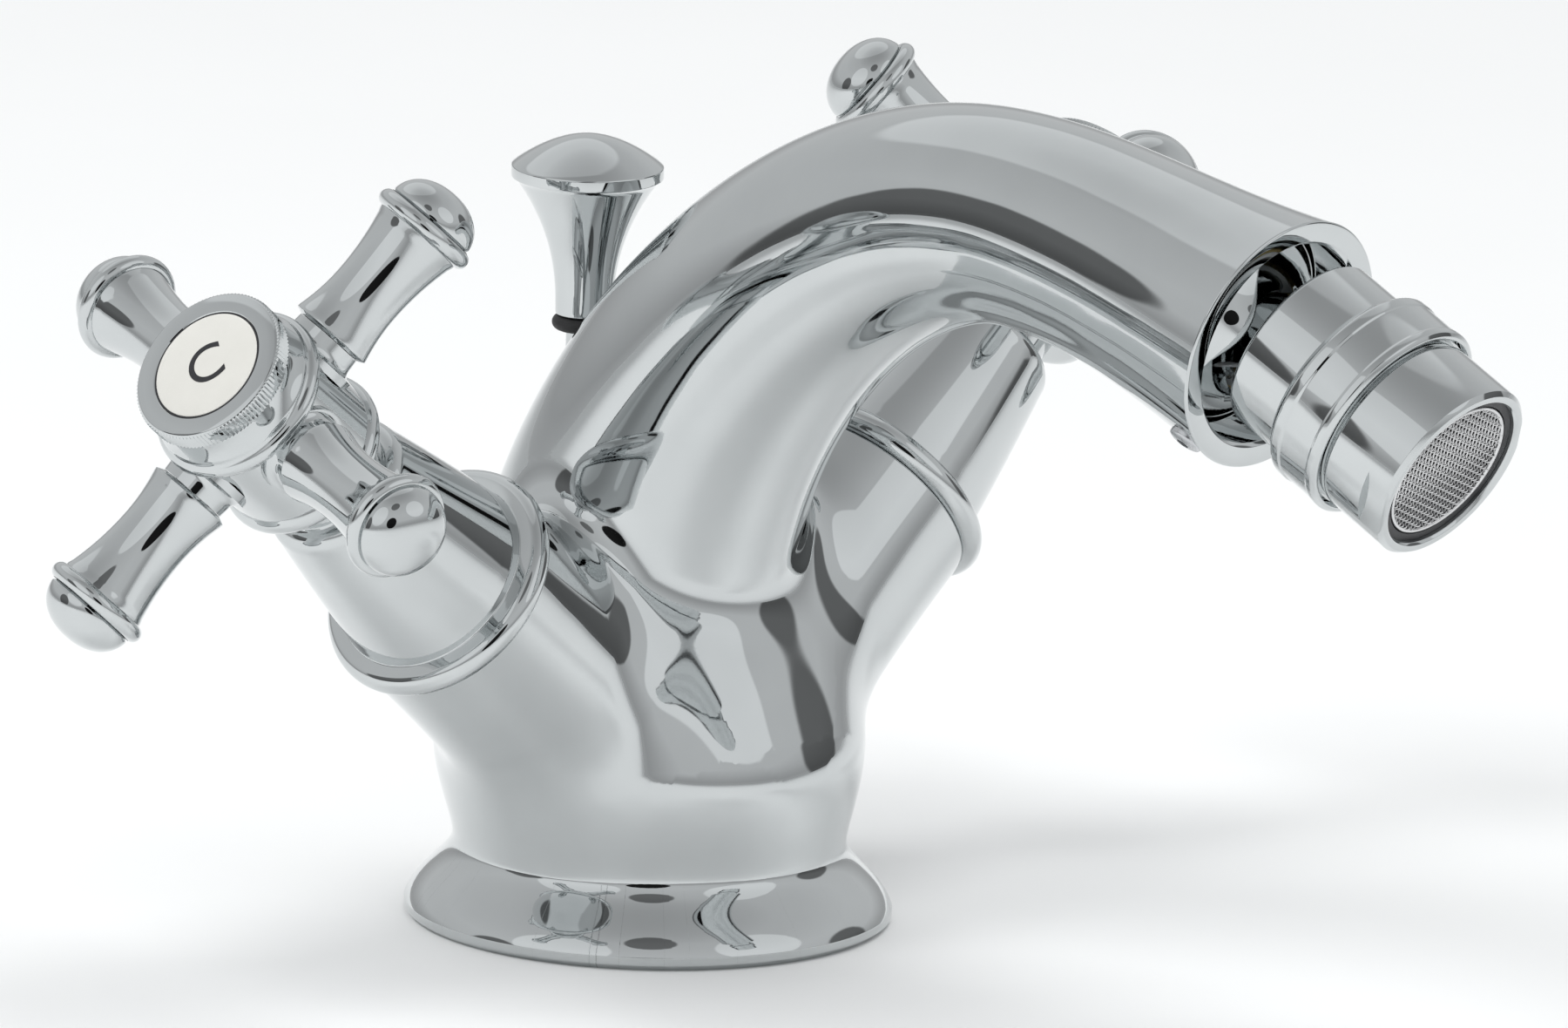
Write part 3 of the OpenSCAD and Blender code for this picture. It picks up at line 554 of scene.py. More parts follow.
class SpoutLine:
    """Centre line of the spout in its plane of symmetry: place, heading and radius by length."""

    step = 0.2
    past_mouth = 4.0

    def __init__(self):
        mouth = MOUTH.translation
        fall_slope = math.asin(-mouth_out.z)
        end = np.array([-mouth.y, mouth.z])
        t = np.linspace(0, 1, 600)
        rise = cubic([(0, ROOT_Z), ROOT_LEAN, (CREST_F - CREST_REAR, CREST_Z), (CREST_F, CREST_Z)], t)
        inward = np.array([-math.cos(fall_slope), math.sin(fall_slope)])
        fall = cubic([(CREST_F, CREST_Z), (CREST_F + CREST_FRONT, CREST_Z), end + MOUTH_REAR * inward, end], t)
        line = np.concatenate([rise, fall[1:]])
        radii = np.concatenate([SPOUT_R + (ROOT_R - SPOUT_R) * (1 - t) ** 1.2,
                                (SPOUT_R + (MOUTH_R - SPOUT_R) * t ** 2.8)[1:]])
        along = np.concatenate([[0], np.cumsum(np.linalg.norm(np.diff(line, axis=0), axis=1))])
        count = int(along[-1] / self.step) + 1
        s = np.linspace(0, along[-1], count)
        points = np.stack([np.interp(s, along, line[:, k]) for k in (0, 1)], 1)
        slope = np.gradient(points, s, axis=0)
        heading = eased(np.unwrap(np.arctan2(slope[:, 1], slope[:, 0])), 70)
        radius = eased(np.interp(s, along, radii), 60)
        extra = int(self.past_mouth / self.step)
        ds = s[1]
        heading = np.concatenate([heading, np.full(extra, heading[-1])])
        radius = np.concatenate([radius, radius[-1] + (radius[-1] - radius[-2]) * np.arange(1, extra + 1)])
        middle = (heading[1:] + heading[:-1]) / 2
        path = np.stack([np.cos(middle), np.sin(middle)], 1) * ds
        path = np.concatenate([[line[0]], line[0] + np.cumsum(path, axis=0)])
        drift = end - path[count - 1]
        share = np.clip(np.arange(len(path)) / (count - 1), 0, 1)[:, None]
        self.points = path + drift * share
        self.s = np.arange(len(path)) * ds
        self.heading, self.radius = heading, radius
        self.bend = np.gradient(heading, self.s)
        self.flare = np.gradient(radius, self.s)

    def field(self, p):
        """Signed distance from the spout's skin and its gradient."""
        q = np.stack([-p[:, 1], p[:, 2]], 1)
        coarse = self.points[::5]
        s = np.empty(len(q))
        for k in range(0, len(q), 20000):
            gap = ((q[k:k + 20000, None] - coarse[None]) ** 2).sum(2)
            s[k:k + 20000] = self.s[::5][gap.argmin(1)]
        for _ in range(4):
            off, way, stretch = self.across(q, s)
            s = np.clip(s + (off * way).sum(1) / stretch, 0, self.s[-1])
        off, way, stretch = self.across(q, s)
        radius, flare = np.interp(s, self.s, self.radius), np.interp(s, self.s, self.flare)
        out = np.stack([p[:, 0], -off[:, 0], off[:, 1]], 1)
        far = np.linalg.norm(out, axis=1)
        inside = (s > 0) & (s < self.s[-1])
        rate = np.where(inside, flare / stretch, 0)
        along = np.stack([0 * s, -way[:, 0], way[:, 1]], 1)
        return evened(far - radius, out / far[:, None] - rate[:, None] * along)

    def across(self, q, s):
        """Offsets from the line, its direction, and how much its bend stretches lengths out there."""
        centre, way, bend = self.at(s)
        off = q - centre
        side = off[:, 1] * way[:, 0] - off[:, 0] * way[:, 1]
        return off, way, np.maximum(1 - bend * side, 0.3)

    def at(self, s):
        """Centre, direction and bend at lengths along the line."""
        heading = np.interp(s, self.s, self.heading)
        centre = np.stack([np.interp(s, self.s, self.points[:, k]) for k in (0, 1)], 1)
        return centre, np.stack([np.cos(heading), np.sin(heading)], 1), np.interp(s, self.s, self.bend)


def arm_radius(w):
    """An arm's radius at a distance along its axis."""
    return ARM_END_R + ARM_SWELL * (1 - np.clip(w / ARM_LEN, 0, 1)) ** ARM_POWER


def arm_field(p, side):
    """Signed distance from an arm's skin and its gradient."""
    origin = np.array(AXES[side].translation)
    axis = np.array(AXES[side].to_3x3() @ Vector((0, 0, 1)))
    off = p - origin
    w = off @ axis
    across = off - np.outer(w, axis)
    far = np.linalg.norm(across, axis=1)
    slope = -ARM_SWELL * ARM_POWER / ARM_LEN * (1 - np.clip(w / ARM_LEN, 0, 1)) ** (ARM_POWER - 1)
    grad = across / far[:, None] - slope[:, None] * axis
    value = far - arm_radius(w)
    ball_far = np.linalg.norm(off, axis=1)
    behind = w < 0
    value = np.where(behind, ball_far - arm_radius(0), value)
    return evened(value, np.where(behind[:, None], off / ball_far[:, None], grad))


def waist_profile(z):
    """The waist's radius at a height, and its slope."""
    t = np.clip((z - FLARE_Z) / (WAIST_Z - FLARE_Z), 0, 1)
    slope = -FLARE_W * np.cos(t * np.pi / 2) * np.pi / 2 / (WAIST_Z - FLARE_Z)
    return WAIST_R + FLARE_W * (1 - np.sin(t * np.pi / 2)), slope


def base_field(p):
    """Signed distance from the skin of the waist and its dome, and its gradient."""
    far = np.maximum(np.hypot(p[:, 0], p[:, 1]), 1e-6)
    out = np.stack([p[:, 0] / far, p[:, 1] / far, 0 * far], 1)
    up = np.array([0, 0, 1.0])
    radius, slope = waist_profile(p[:, 2])
    low = far - radius
    low_grad = out - slope[:, None] * up
    rise = np.maximum((p[:, 2] - WAIST_Z) / DOME_H, 0)
    q = np.maximum(np.sqrt((far / WAIST_R) ** 2 + rise ** DOME_POWER), 1e-6)
    high = WAIST_R * (q - 1)
    high_grad = out * (far / WAIST_R / q)[:, None] + up * (
        WAIST_R * DOME_POWER / 2 * rise ** (DOME_POWER - 1) / DOME_H / q)[:, None]
    above = p[:, 2] > WAIST_Z
    return evened(np.where(above, high, low), np.where(above[:, None], high_grad, low_grad))


def melted(a, b, width, width_slope=0.0):
    """Two skins run together with a fillet about as wide as width."""
    (va, ga), (vb, gb) = a, b
    share = np.clip(0.5 + 0.5 * (vb - va) / np.maximum(width, 1e-6), 0, 1)
    dip = share * (1 - share)
    value = vb + (va - vb) * share - width * dip
    grad = gb + (ga - gb) * share[:, None]
    grad[:, 2] -= dip * width_slope
    return value, grad


spout_line = SpoutLine()


def body_field(p):
    """Signed distance from the whole body's skin and its gradient."""
    arms = melted(arm_field(p, COLD), arm_field(p, HOT), ARM_FILLET)
    upper = melted(arms, spout_line.field(p), ARM_FILLET)
    t = np.clip((p[:, 2] - FILLET_LOW) / FILLET_RISE, 0, 1)
    width, width_slope = BASE_FILLET * t * t * (3 - 2 * t), BASE_FILLET * 6 * t * (1 - t) / FILLET_RISE
    return melted(upper, base_field(p), width, width_slope)


def settle(p, rounds=4):
    """Moves points onto the body's skin."""
    for _ in range(rounds):
        value, grad = body_field(p)
        p = p - grad * (value / np.maximum((grad ** 2).sum(1), 0.2))[:, None]
    return p


def coordinates(mesh):
    """A mesh's vertices as an array in millimetres."""
    flat = np.empty(len(mesh.vertices) * 3)
    mesh.vertices.foreach_get("co", flat)
    return flat.reshape(-1, 3) / MM


def rough_casting():
    """Base, arms and spout as overlapping closed shapes, made one skin."""
    bm = bmesh.new()
    levels = (0.2, 0.4, 0.6, 0.75, 0.88, 0.97)
    heights = [3, 6, 9, WAIST_Z] + [WAIST_Z + DOME_H * t for t in levels]
    radii = [WAIST_R + 1] * 2 + [WAIST_R + 0.2, WAIST_R] + [
        WAIST_R * math.sqrt(max(0, 1 - t ** DOME_POWER)) for t in levels]
    turned(bm, [(0, 3)] + list(zip(radii, heights)) + [(0, WAIST_Z + DOME_H)])
    for side in SIDES:
        reach = [ARM_LEN * i / 12 for i in range(13)] + [ARM_LEN + 3]
        rings = [(float(arm_radius(np.array(w))), w) for w in reach]
        turned(bm, [(0, -2)] + rings + [(0, ARM_LEN + 3)], AXES[side])
    face = bmesh.ops.create_circle(bm, cap_ends=True, segments=72, radius=1)["verts"][0].link_faces[0]
    last = None
    for s in np.append(np.arange(0, spout_line.s[-1], 2.0), spout_line.s[-1]):
        (centre,), (way,), _ = spout_line.at(np.array([s]))
        radius = float(np.interp(s, spout_line.s, spout_line.radius))
        place = shift(0, -centre[0], centre[1]) @ Matrix.Rotation(
            math.atan2(way[0], way[1]), 4, "X") @ Matrix.Scale(radius, 4)
        if last:
            grown = bmesh.ops.extrude_face_region(bm, geom=[face])["geom"]
            face = next(g for g in grown if isinstance(g, bmesh.types.BMFace))
        step = place @ last.inverted() if last else place
        bmesh.ops.transform(bm, matrix=step, verts=face.verts)
        last = place
    bmesh.ops.recalc_face_normals(bm, faces=bm.faces)
    rough = mesh_object(bm, "rough")
    step = rough.modifiers.new("skin", "REMESH")
    step.mode = "VOXEL"
    step.voxel_size = VOXEL * MM
    skin = worked(rough)
    bpy.data.objects.remove(rough)
    return skin


def open_edge(bm, place, near):
    """Edges round the hole at a cut, given the cut's frame and the largest distance from its axis."""
    back = place.inverted()
    found = []
    for edge in bm.edges:
        if edge.is_boundary:
            a, b = (back @ v.co for v in edge.verts)
            if abs(a.z) < 0.01 and abs(b.z) < 0.01 and math.hypot(a.x, a.y) < near:
                found.append(edge)
    return found


def trim(bm, place, near):
    """Cuts the skin off flat at a frame's XY plane, close to its axis."""
    back = place.inverted()
    faces = [f for f in bm.faces
             if all(math.hypot(*(back @ v.co).xy) < near and (back @ v.co).z > -6 for v in f.verts)]
    parts = [v for f in faces for v in f.verts] + [e for f in faces for e in f.edges]
    geom = list(dict.fromkeys(parts)) + faces
    bmesh.ops.bisect_plane(bm, geom=geom, dist=1e-4, plane_co=place.translation,
                           plane_no=place.to_3x3() @ Vector((0, 0, 1)), clear_outer=True)
    return open_edge(bm, place, near)


def carry(bm, edges, place, profile):
    """Carries an open edge on through rings of the given radius and height, and closes it."""
    back = place.inverted()
    for radius, height in profile:
        geom = bmesh.ops.extrude_edge_only(bm, edges=edges)["geom"]
        edges = [g for g in geom if isinstance(g, bmesh.types.BMEdge)]
        for v in dict.fromkeys(v for e in edges for v in e.verts):
            local = back @ v.co
            angle = math.atan2(local.y, local.x)
            v.co = place @ Vector((radius * math.cos(angle), radius * math.sin(angle), height))
    bmesh.ops.contextual_create(bm, geom=edges)


def turn_over(radius):
    """Profile of the small round that turns a skin of that radius into its end face."""
    return arc((radius - EDGE_ROUND, 0), EDGE_ROUND, 0, 90, 5)[1:]


def casting():
    """The body: one smooth skin, with its mouth, arm ends and foot worked to size."""
    bm = taken(rough_casting())
    bmesh.ops.transform(bm, matrix=Matrix.Scale(1 / MM, 4), verts=bm.verts)
    for relax in (3, 2, 0):
        points = settle(np.array([v.co for v in bm.verts], float))
        for v, p in zip(bm.verts, points):
            v.co = p
        for _ in range(relax):
            bmesh.ops.smooth_vert(bm, verts=bm.verts, factor=0.5,
                                  use_axis_x=True, use_axis_y=True, use_axis_z=True)

    mouth_cut = MOUTH @ shift(0, 0, -EDGE_ROUND)
    loop = trim(bm, mouth_cut, 22)
    carry(bm, loop, mouth_cut, turn_over(MOUTH_R) + rounded([
        (MOUTH_R - EDGE_ROUND, EDGE_ROUND), (RECESS_R + 0.45, EDGE_ROUND, 0.15),
        (RECESS_R, EDGE_ROUND - 0.45, 0.15), (RECESS_R, -8.6), (RECESS_R - 3, -8.6),
        (RECESS_R - 3, -16.6)], 3)[1:])
    for side in SIDES:
        end_cut = ARM_ENDS[side] @ shift(0, 0, -EDGE_ROUND)
        loop = trim(bm, end_cut, 18)
        carry(bm, loop, end_cut, turn_over(ARM_END_R) + [
            (BORE_R, EDGE_ROUND), (BORE_R, VALVE_BORE_Z), (PASSAGE_R, VALVE_BORE_Z), (PASSAGE_R, SEAT_BORE_Z)])
    foot = shift(0, 0, CUT_Z) @ spun(180, "X")
    loop = trim(bm, foot, 40)
    radius, slope = (float(v) for v in waist_profile(np.array(CUT_Z)))
    flare = cubic([(radius, CUT_Z), (radius - 2.6 * slope, CUT_Z - 2.6), (26.9, 4.7), (BASE_R, RIM_H)],
                  np.linspace(0, 1, 26))[1:]
    lip = [tuple(p) for p in flare[:-1]] + rounded([
        tuple(flare[-2]), (BASE_R, RIM_H, 0.12), (BASE_R, 0.7, 0.25), (BASE_R - 0.8, 0, 0.2), (GASKET_R, 0)],
        3)[1:]
    seat = [(GASKET_R, GASKET_Z), (GASKET_HOLE_R, GASKET_Z), (GASKET_HOLE_R, 0)]
    carry(bm, loop, foot, [(r, CUT_Z - z) for r, z in lip + seat])
    bmesh.ops.recalc_face_normals(bm, faces=bm.faces)
    body = mesh_object(bm, "body_casting")

    inlets = [shift(side * INLET_X, 0, 0) for side in SIDES]
    tools = [rod_shape(INLET_R, -1, INLET_Z, place) for place in inlets]
    tools += [rod_shape(PASSAGE_R, INLET_Z - 1, PASSAGE_Z, place) for place in inlets]
    tools += [rod_shape(STUD_R, -1, STUD_Z, shift(0, STUD_Y, 0)),
              rod_shape(ROD_BORE_R, -1, ROD_BORE_Z, ROD),
              rod_shape(ROD_POCKET_R, ROD_POCKET_Z, 110, ROD, 96)]
    cut(body, tools)
    true_normals(body)
    return dress(body, "cast_chrome", "root", ["body"])


def true_normals(body):
    """Gives the free-form skin the exact normals of the shape that it follows."""
    mesh = body.data
    bm = bmesh.new()
    bm.from_mesh(mesh)
    shade(bm)
    bm.verts.ensure_lookup_table()
    crisp = np.array([any(not e.smooth for e in v.link_edges) for v in bm.verts])
    bm.to_mesh(mesh)
    bm.free()
    points = coordinates(mesh)
    value, grad = body_field(points)
    normals = grad / np.linalg.norm(grad, axis=1)[:, None]
    on_skin = (np.abs(value) < 0.01) & ~crisp & (points[:, 2] > CUT_Z - 0.01)
    normals[~on_skin] = 0
    mesh.normals_split_custom_set_from_vertices(normals.tolist())


# ---------------- bonnets and handles
BONNET_LEN, BEAD_R = 29.6, 1.6
SKIRT_R, SHOULDER_R, SHOULDER_Z, SHOULDER_ROUND, NECK_R = 11.78, 8.98, 23.4, 2.2, 6.6
HUB_Z, HUB_TOP, HUB_R = 30.1, 46.5, 9.75
CROSS_Z, CROSS_R, BOSS_END, BOSS_R = 40.3, 28.0, 11.65, 4.15
RING_R, RING_HALF, TIP_R, TIP_H, WAIST_ARM_R = 6.4, 1.05, 5.5, 4.2, 4.25
CAP_R, CAP_H, INDEX_R = 9.5, 5.4, 6.65
KNURLS = 120
TURNS = {COLD: 71.0, HOT: 55.0}
LETTERS = {COLD: ("C", -46.0), HOT: ("H", -123.0)}
LETTER_SIZE, LETTER_T = 7.2, 0.035
SPINDLE_HOLE_R, BOSS_BORE_R, ARM_BORE_R, TIP_BORE_R = 4.6, 2.55, 2.5, 2.1
# Hollows of the bonnet and of the hub, round the valve and the handle's screw
BONNET_HOLLOW = [(SPINDLE_HOLE_R, 26.5), (5.5, 26.0), (5.5, 24.2), (7.1, 24.2), (8.03, 22.2), (8.03, 12),
                 (10.4, 8.4), (10.78, 3.5), (10.78, 2.4), (11.78, 2.2), (11.78, 0)]
HUB_HOLLOW = [(7.95, HUB_TOP), (7.95, 44.2), (4.4, 44.2), (4.4, 42.8), (2.7, 42.8), (2.7, 41.5), (4.05, 41.5)]


def bonnet(side):
    """Bell cover with a rolled bead at its foot, hollow over the valve's brass."""
    foot_r, skirt_z = ARM_END_R + 1.2 - BEAD_R, 2 * BEAD_R
    neck_z = SHOULDER_Z + SHOULDER_ROUND + 0.3
    outer = [(foot_r - 0.6, 0)] + arc((foot_r, BEAD_R), BEAD_R, -80, 82, 18)
    outer += rounded([outer[-1], (SKIRT_R + 0.05, skirt_z + 0.12, 0.2), (SKIRT_R - 0.02, skirt_z + 0.9)])[1:]
    outer += [(between(SKIRT_R, SHOULDER_R, t ** 1.15), between(skirt_z + 0.3, SHOULDER_Z, t))
              for t in np.linspace(0.06, 1, 20)]
    outer += arc((SHOULDER_R - SHOULDER_ROUND, SHOULDER_Z), SHOULDER_ROUND, 10, 84, 10)
    outer += rounded([outer[-1], (NECK_R, neck_z, 0.3), (NECK_R, BONNET_LEN, 0.25),
                      (SPINDLE_HOLE_R, BONNET_LEN)])[1:]
    name = SIDES[side] + "_bonnet"
    lathe(name + "_cover", outer + BONNET_HOLLOW, ARM_ENDS[side], "chrome", "root", closed=True, node=name)


def arm_place(side, k):
    """Frame of one of a handle's four arms, with Z along the arm."""
    turn = spun(TURNS[side] + 90 * k)
    return ARM_ENDS[side] @ shift(0, 0, CROSS_Z) @ turn @ spun(90, "Y")


def hub(side):
    """Barrel with a bead at its foot, a rounded flange on top and four necks for the arms."""
    outer = [(4.05, HUB_Z), (HUB_R - 1.4, HUB_Z)]
    outer += arc((HUB_R - 0.9, HUB_Z + 1.4), 1.38, -88, 62, 14)
    outer += rounded([outer[-1], (HUB_R - 0.1, HUB_Z + 2.75, 0.25), (HUB_R - 0.1, HUB_TOP - 3.1, 0.35),
                      (HUB_R + 0.25, HUB_TOP - 2.6)])[1:]
    outer += arc((HUB_R - 0.1, HUB_TOP - 1.45), 1.0, -68, 66, 12)
    outer += [(HUB_R + 0.15, HUB_TOP - 0.35), (HUB_R + 0.1, HUB_TOP)]
    neck = [(BOSS_BORE_R, 8.2), (5.4, 8.2), (5.4, 9.2)] + arc((5.6, 10.45), 1.35, -110, -180, 8)
    neck += [(BOSS_R, BOSS_END), (BOSS_BORE_R, BOSS_END)]
    bm = bmesh.new()
    turned(bm, outer + HUB_HOLLOW, ARM_ENDS[side], closed=True)
    for k in range(4):
        turned(bm, neck, arm_place(side, k), 72, closed=True)
    name = SIDES[side] + "_handle_hub"
    dress(mesh_object(bm, name + "_turned"), "chrome", SIDES[side] + "_handle", [name])


def arms(side):
    """Four turned arms: sharp-edged foot, slim waist and rolled ring, with a domed tip screwed into each."""
    waist_at, flare_at, ring_top = BOSS_END + 6.6, CROSS_R - RING_HALF - 0.3, CROSS_R + RING_HALF

    def radius(d):
        """The arm's radius at a distance from the handle's axis."""
        if d < waist_at:
            return WAIST_ARM_R + 0.8 * ((waist_at - d) / (waist_at - BOSS_END - 0.5)) ** 2
        return WAIST_ARM_R + 1.05 * ((d - waist_at) / (flare_at - waist_at)) ** 2

    ring = arc((RING_R - RING_HALF, CROSS_R), RING_HALF, -86, 80, 16)
    shape = rounded([(ARM_BORE_R, BOSS_END + 0.05), (BOSS_R, BOSS_END + 0.05, 0.1),
                     (radius(BOSS_END + 0.5) - 0.03, BOSS_END + 0.45, 0.12),
                     (radius(BOSS_END + 0.9), BOSS_END + 0.9)])
    shape += [(radius(d), d) for d in np.linspace(BOSS_END + 1.4, flare_at - 0.5, 26)]
    shape += [(radius(flare_at) + 0.06, flare_at - 0.02)] + ring + [(TIP_R + 0.12, ring_top)]
    shape += [(TIP_BORE_R, ring_top), (TIP_BORE_R, 18), (0, 18), (0, 11), (ARM_BORE_R, 11)]
    seam = ring_top + 0.02
    dome = [(0, seam - 4), (2, seam - 4), (2, seam), (TIP_R - 0.25, seam), (TIP_R - 0.04, seam + 0.22)]
    dome += [(TIP_R * math.cos(a) ** 0.92, seam + (TIP_H - 0.02) * math.sin(a))
             for a in np.linspace(0.09, math.pi / 2 - 0.04, 20)]
    dome += [(0, seam + TIP_H - 0.02)]
    body = SIDES[side] + "_handle"
    for name, profile, closed in (("arms", shape, True), ("tips", dome, False)):
        bm = bmesh.new()
        for k in range(4):
            turned(bm, profile, arm_place(side, k), 96, closed)
        node = f"{body}_{name}"
        dress(mesh_object(bm, node + "_turned"), "chrome", body, [node])


def cap(side):
    """Cap ring with a fine knurl under its flat face, the index disc let into it, a black ring of painted shade in
    the groove round the disc, and its letter.
    """
    top, name, body = HUB_TOP + CAP_H, SIDES[side], SIDES[side] + "_handle"
    knurl_low, knurl_high, depth = top - 2.35, top - 0.3, 0.2
    cove = [(CAP_R + 0.35, HUB_TOP), (CAP_R + 0.35, HUB_TOP + 0.15)]
    cove += [(CAP_R - 0.42 + 0.77 * (1 - t) ** 1.9, between(HUB_TOP + 0.15, knurl_low - 0.15, t))
             for t in np.linspace(0.08, 1, 12)]
    band = [(CAP_R - 0.3, knurl_low - 0.1), (CAP_R, knurl_low), (CAP_R, knurl_low + 0.12),
            (CAP_R, knurl_high - 0.1), (CAP_R - 0.08, knurl_high)]
    face = [(CAP_R - 0.3, top - 0.12), (CAP_R - 0.5, top), (INDEX_R + 0.32, top), (INDEX_R + 0.22, top - 0.1),
            (INDEX_R + 0.22, top - 0.55), (INDEX_R - 1.5, top - 0.55), (INDEX_R - 1.5, top - 2),
            (5.0, top - 2), (5.0, 44.3), (7.9, 44.3), (7.9, HUB_TOP)]
    bm = bmesh.new()
    made = turned(bm, cove + band + face, None, 2 * KNURLS, closed=True)
    for v in made:
        far = math.hypot(v.co.x, v.co.y)
        tooth = round(math.atan2(v.co.y, v.co.x) / math.pi * KNURLS) % 2
        if tooth and far > CAP_R - 0.09 and v.co.z > knurl_low - 0.01:
            v.co.x *= 1 - depth / far
            v.co.y *= 1 - depth / far
    bmesh.ops.transform(bm, matrix=ARM_ENDS[side], verts=bm.verts)
    dress(mesh_object(bm, name + "_cap_knurled"), "chrome", body, [name + "_cap_ring"])
    seat, rim = INDEX_R - 1.55, top - 0.5
    disc = rounded([(0, top - 2), (seat, top - 2), (seat, rim), (INDEX_R, rim), (INDEX_R, top - 0.02, 0.1),
                    (INDEX_R - 0.3, top + 0.03), (INDEX_R - 1.6, top + 0.12), (0, top + 0.19)])
    lathe(name + "_index_glazed", disc, ARM_ENDS[side], "index_ceramic", body, node=name + "_index_disc")
    # Black ring that fills the gap round the disc almost to its top: painted shade in the groove
    inner, outer = INDEX_R + 0.01, INDEX_R + 0.21
    groove = [(inner, rim), (outer, rim), (outer, top - 0.07), (inner, top - 0.07)]
    lathe(name + "_index_groove", groove, ARM_ENDS[side], "ink", body, closed=True)
    letter(side, top + 0.155)


def letter(side, height):
    """Plain letter let into the disc's glaze."""
    text, turn = LETTERS[side]
    curve = bpy.data.curves.new("letter", "FONT")
    curve.body, curve.size, curve.extrude = text, LETTER_SIZE, LETTER_T
    curve.align_x, curve.align_y = "CENTER", "CENTER"
    curve.resolution_u = 16
    bm = curve_mesh(curve)
    middle = [-(min(v.co[i] for v in bm.verts) + max(v.co[i] for v in bm.verts)) / 2 for i in (0, 1)]
    bmesh.ops.remove_doubles(bm, verts=bm.verts, dist=1e-4)
    place = ARM_ENDS[side] @ shift(0, 0, height) @ spun(turn)
    bmesh.ops.transform(bm, matrix=place @ shift(*middle, 0), verts=bm.verts)
    dress(mesh_object(bm, SIDES[side] + "_index_letter"), "ink", SIDES[side] + "_handle")


# ---------------- swivel aerator
BALL_R, NECK_BALL_R, COLLAR_R, HOUSING_R, SLEEVE_R = 8.6, 4.6, 10.9, 12.5, 11.2
COLLAR_REAR, SPLIT_Z, HOUSING_FRONT, SLEEVE_FRONT = -6.96, 0.7, 8.6, 18.2
LIP_R, INSERT_R, MESH_R, INSERT_FRONT, INSERT_BACK = 9.7, 9.8, 8.7, 17.4, 9.2
SOCKET_R, SEAT_R, THREAD_R, SLEEVE_BORE_R, LIP_T = 10.02, 8.62, 10.45, 9.85, 0.78
FLATS = (20, 200)
WARP_PITCH, WEFT_PITCH, WARP_R, WEFT_R = 0.6, 0.6, 0.125, 0.1
GAUZE_TURN = 20.0


def ball_joint():
    """Fitting in the mouth: a dished neck that carries the polished ball."""
    neck_top = BALL_AHEAD - math.sqrt(BALL_R ** 2 - NECK_BALL_R ** 2)
    rim, flange = RECESS_R - 0.5, -6.0
    shape = [(2.8, -15.9), (9.1, -15.9), (9.1, -8), (rim, -8)] + arc((rim - 0.5, flange - 0.5), 0.5, 0, 90, 5)
    dish = [(rim - 0.5 - (rim - 0.5 - NECK_BALL_R) * math.cos(a), neck_top - (neck_top - flange) * math.sin(a))
            for a in np.linspace(math.pi / 2, 0, 26)]
    start = math.degrees(math.asin((neck_top - BALL_AHEAD) / BALL_R))
    globe = arc((0, BALL_AHEAD), BALL_R, start + 1.5, 55, 40)
    end = globe[-1]
    shape += dish[1:] + globe + [(2.8, end[1])]
    lathe("ball_fitting_turned", shape, MOUTH, "chrome", "root", closed=True, node="ball_fitting")


def socket_arc(start, end, steps):
    """Points on the sphere that the ball's seats sit in, angles in degrees."""
    angles = np.radians(np.linspace(start, end, steps))
    return [(SOCKET_R * math.cos(a), SOCKET_R * math.sin(a)) for a in angles]


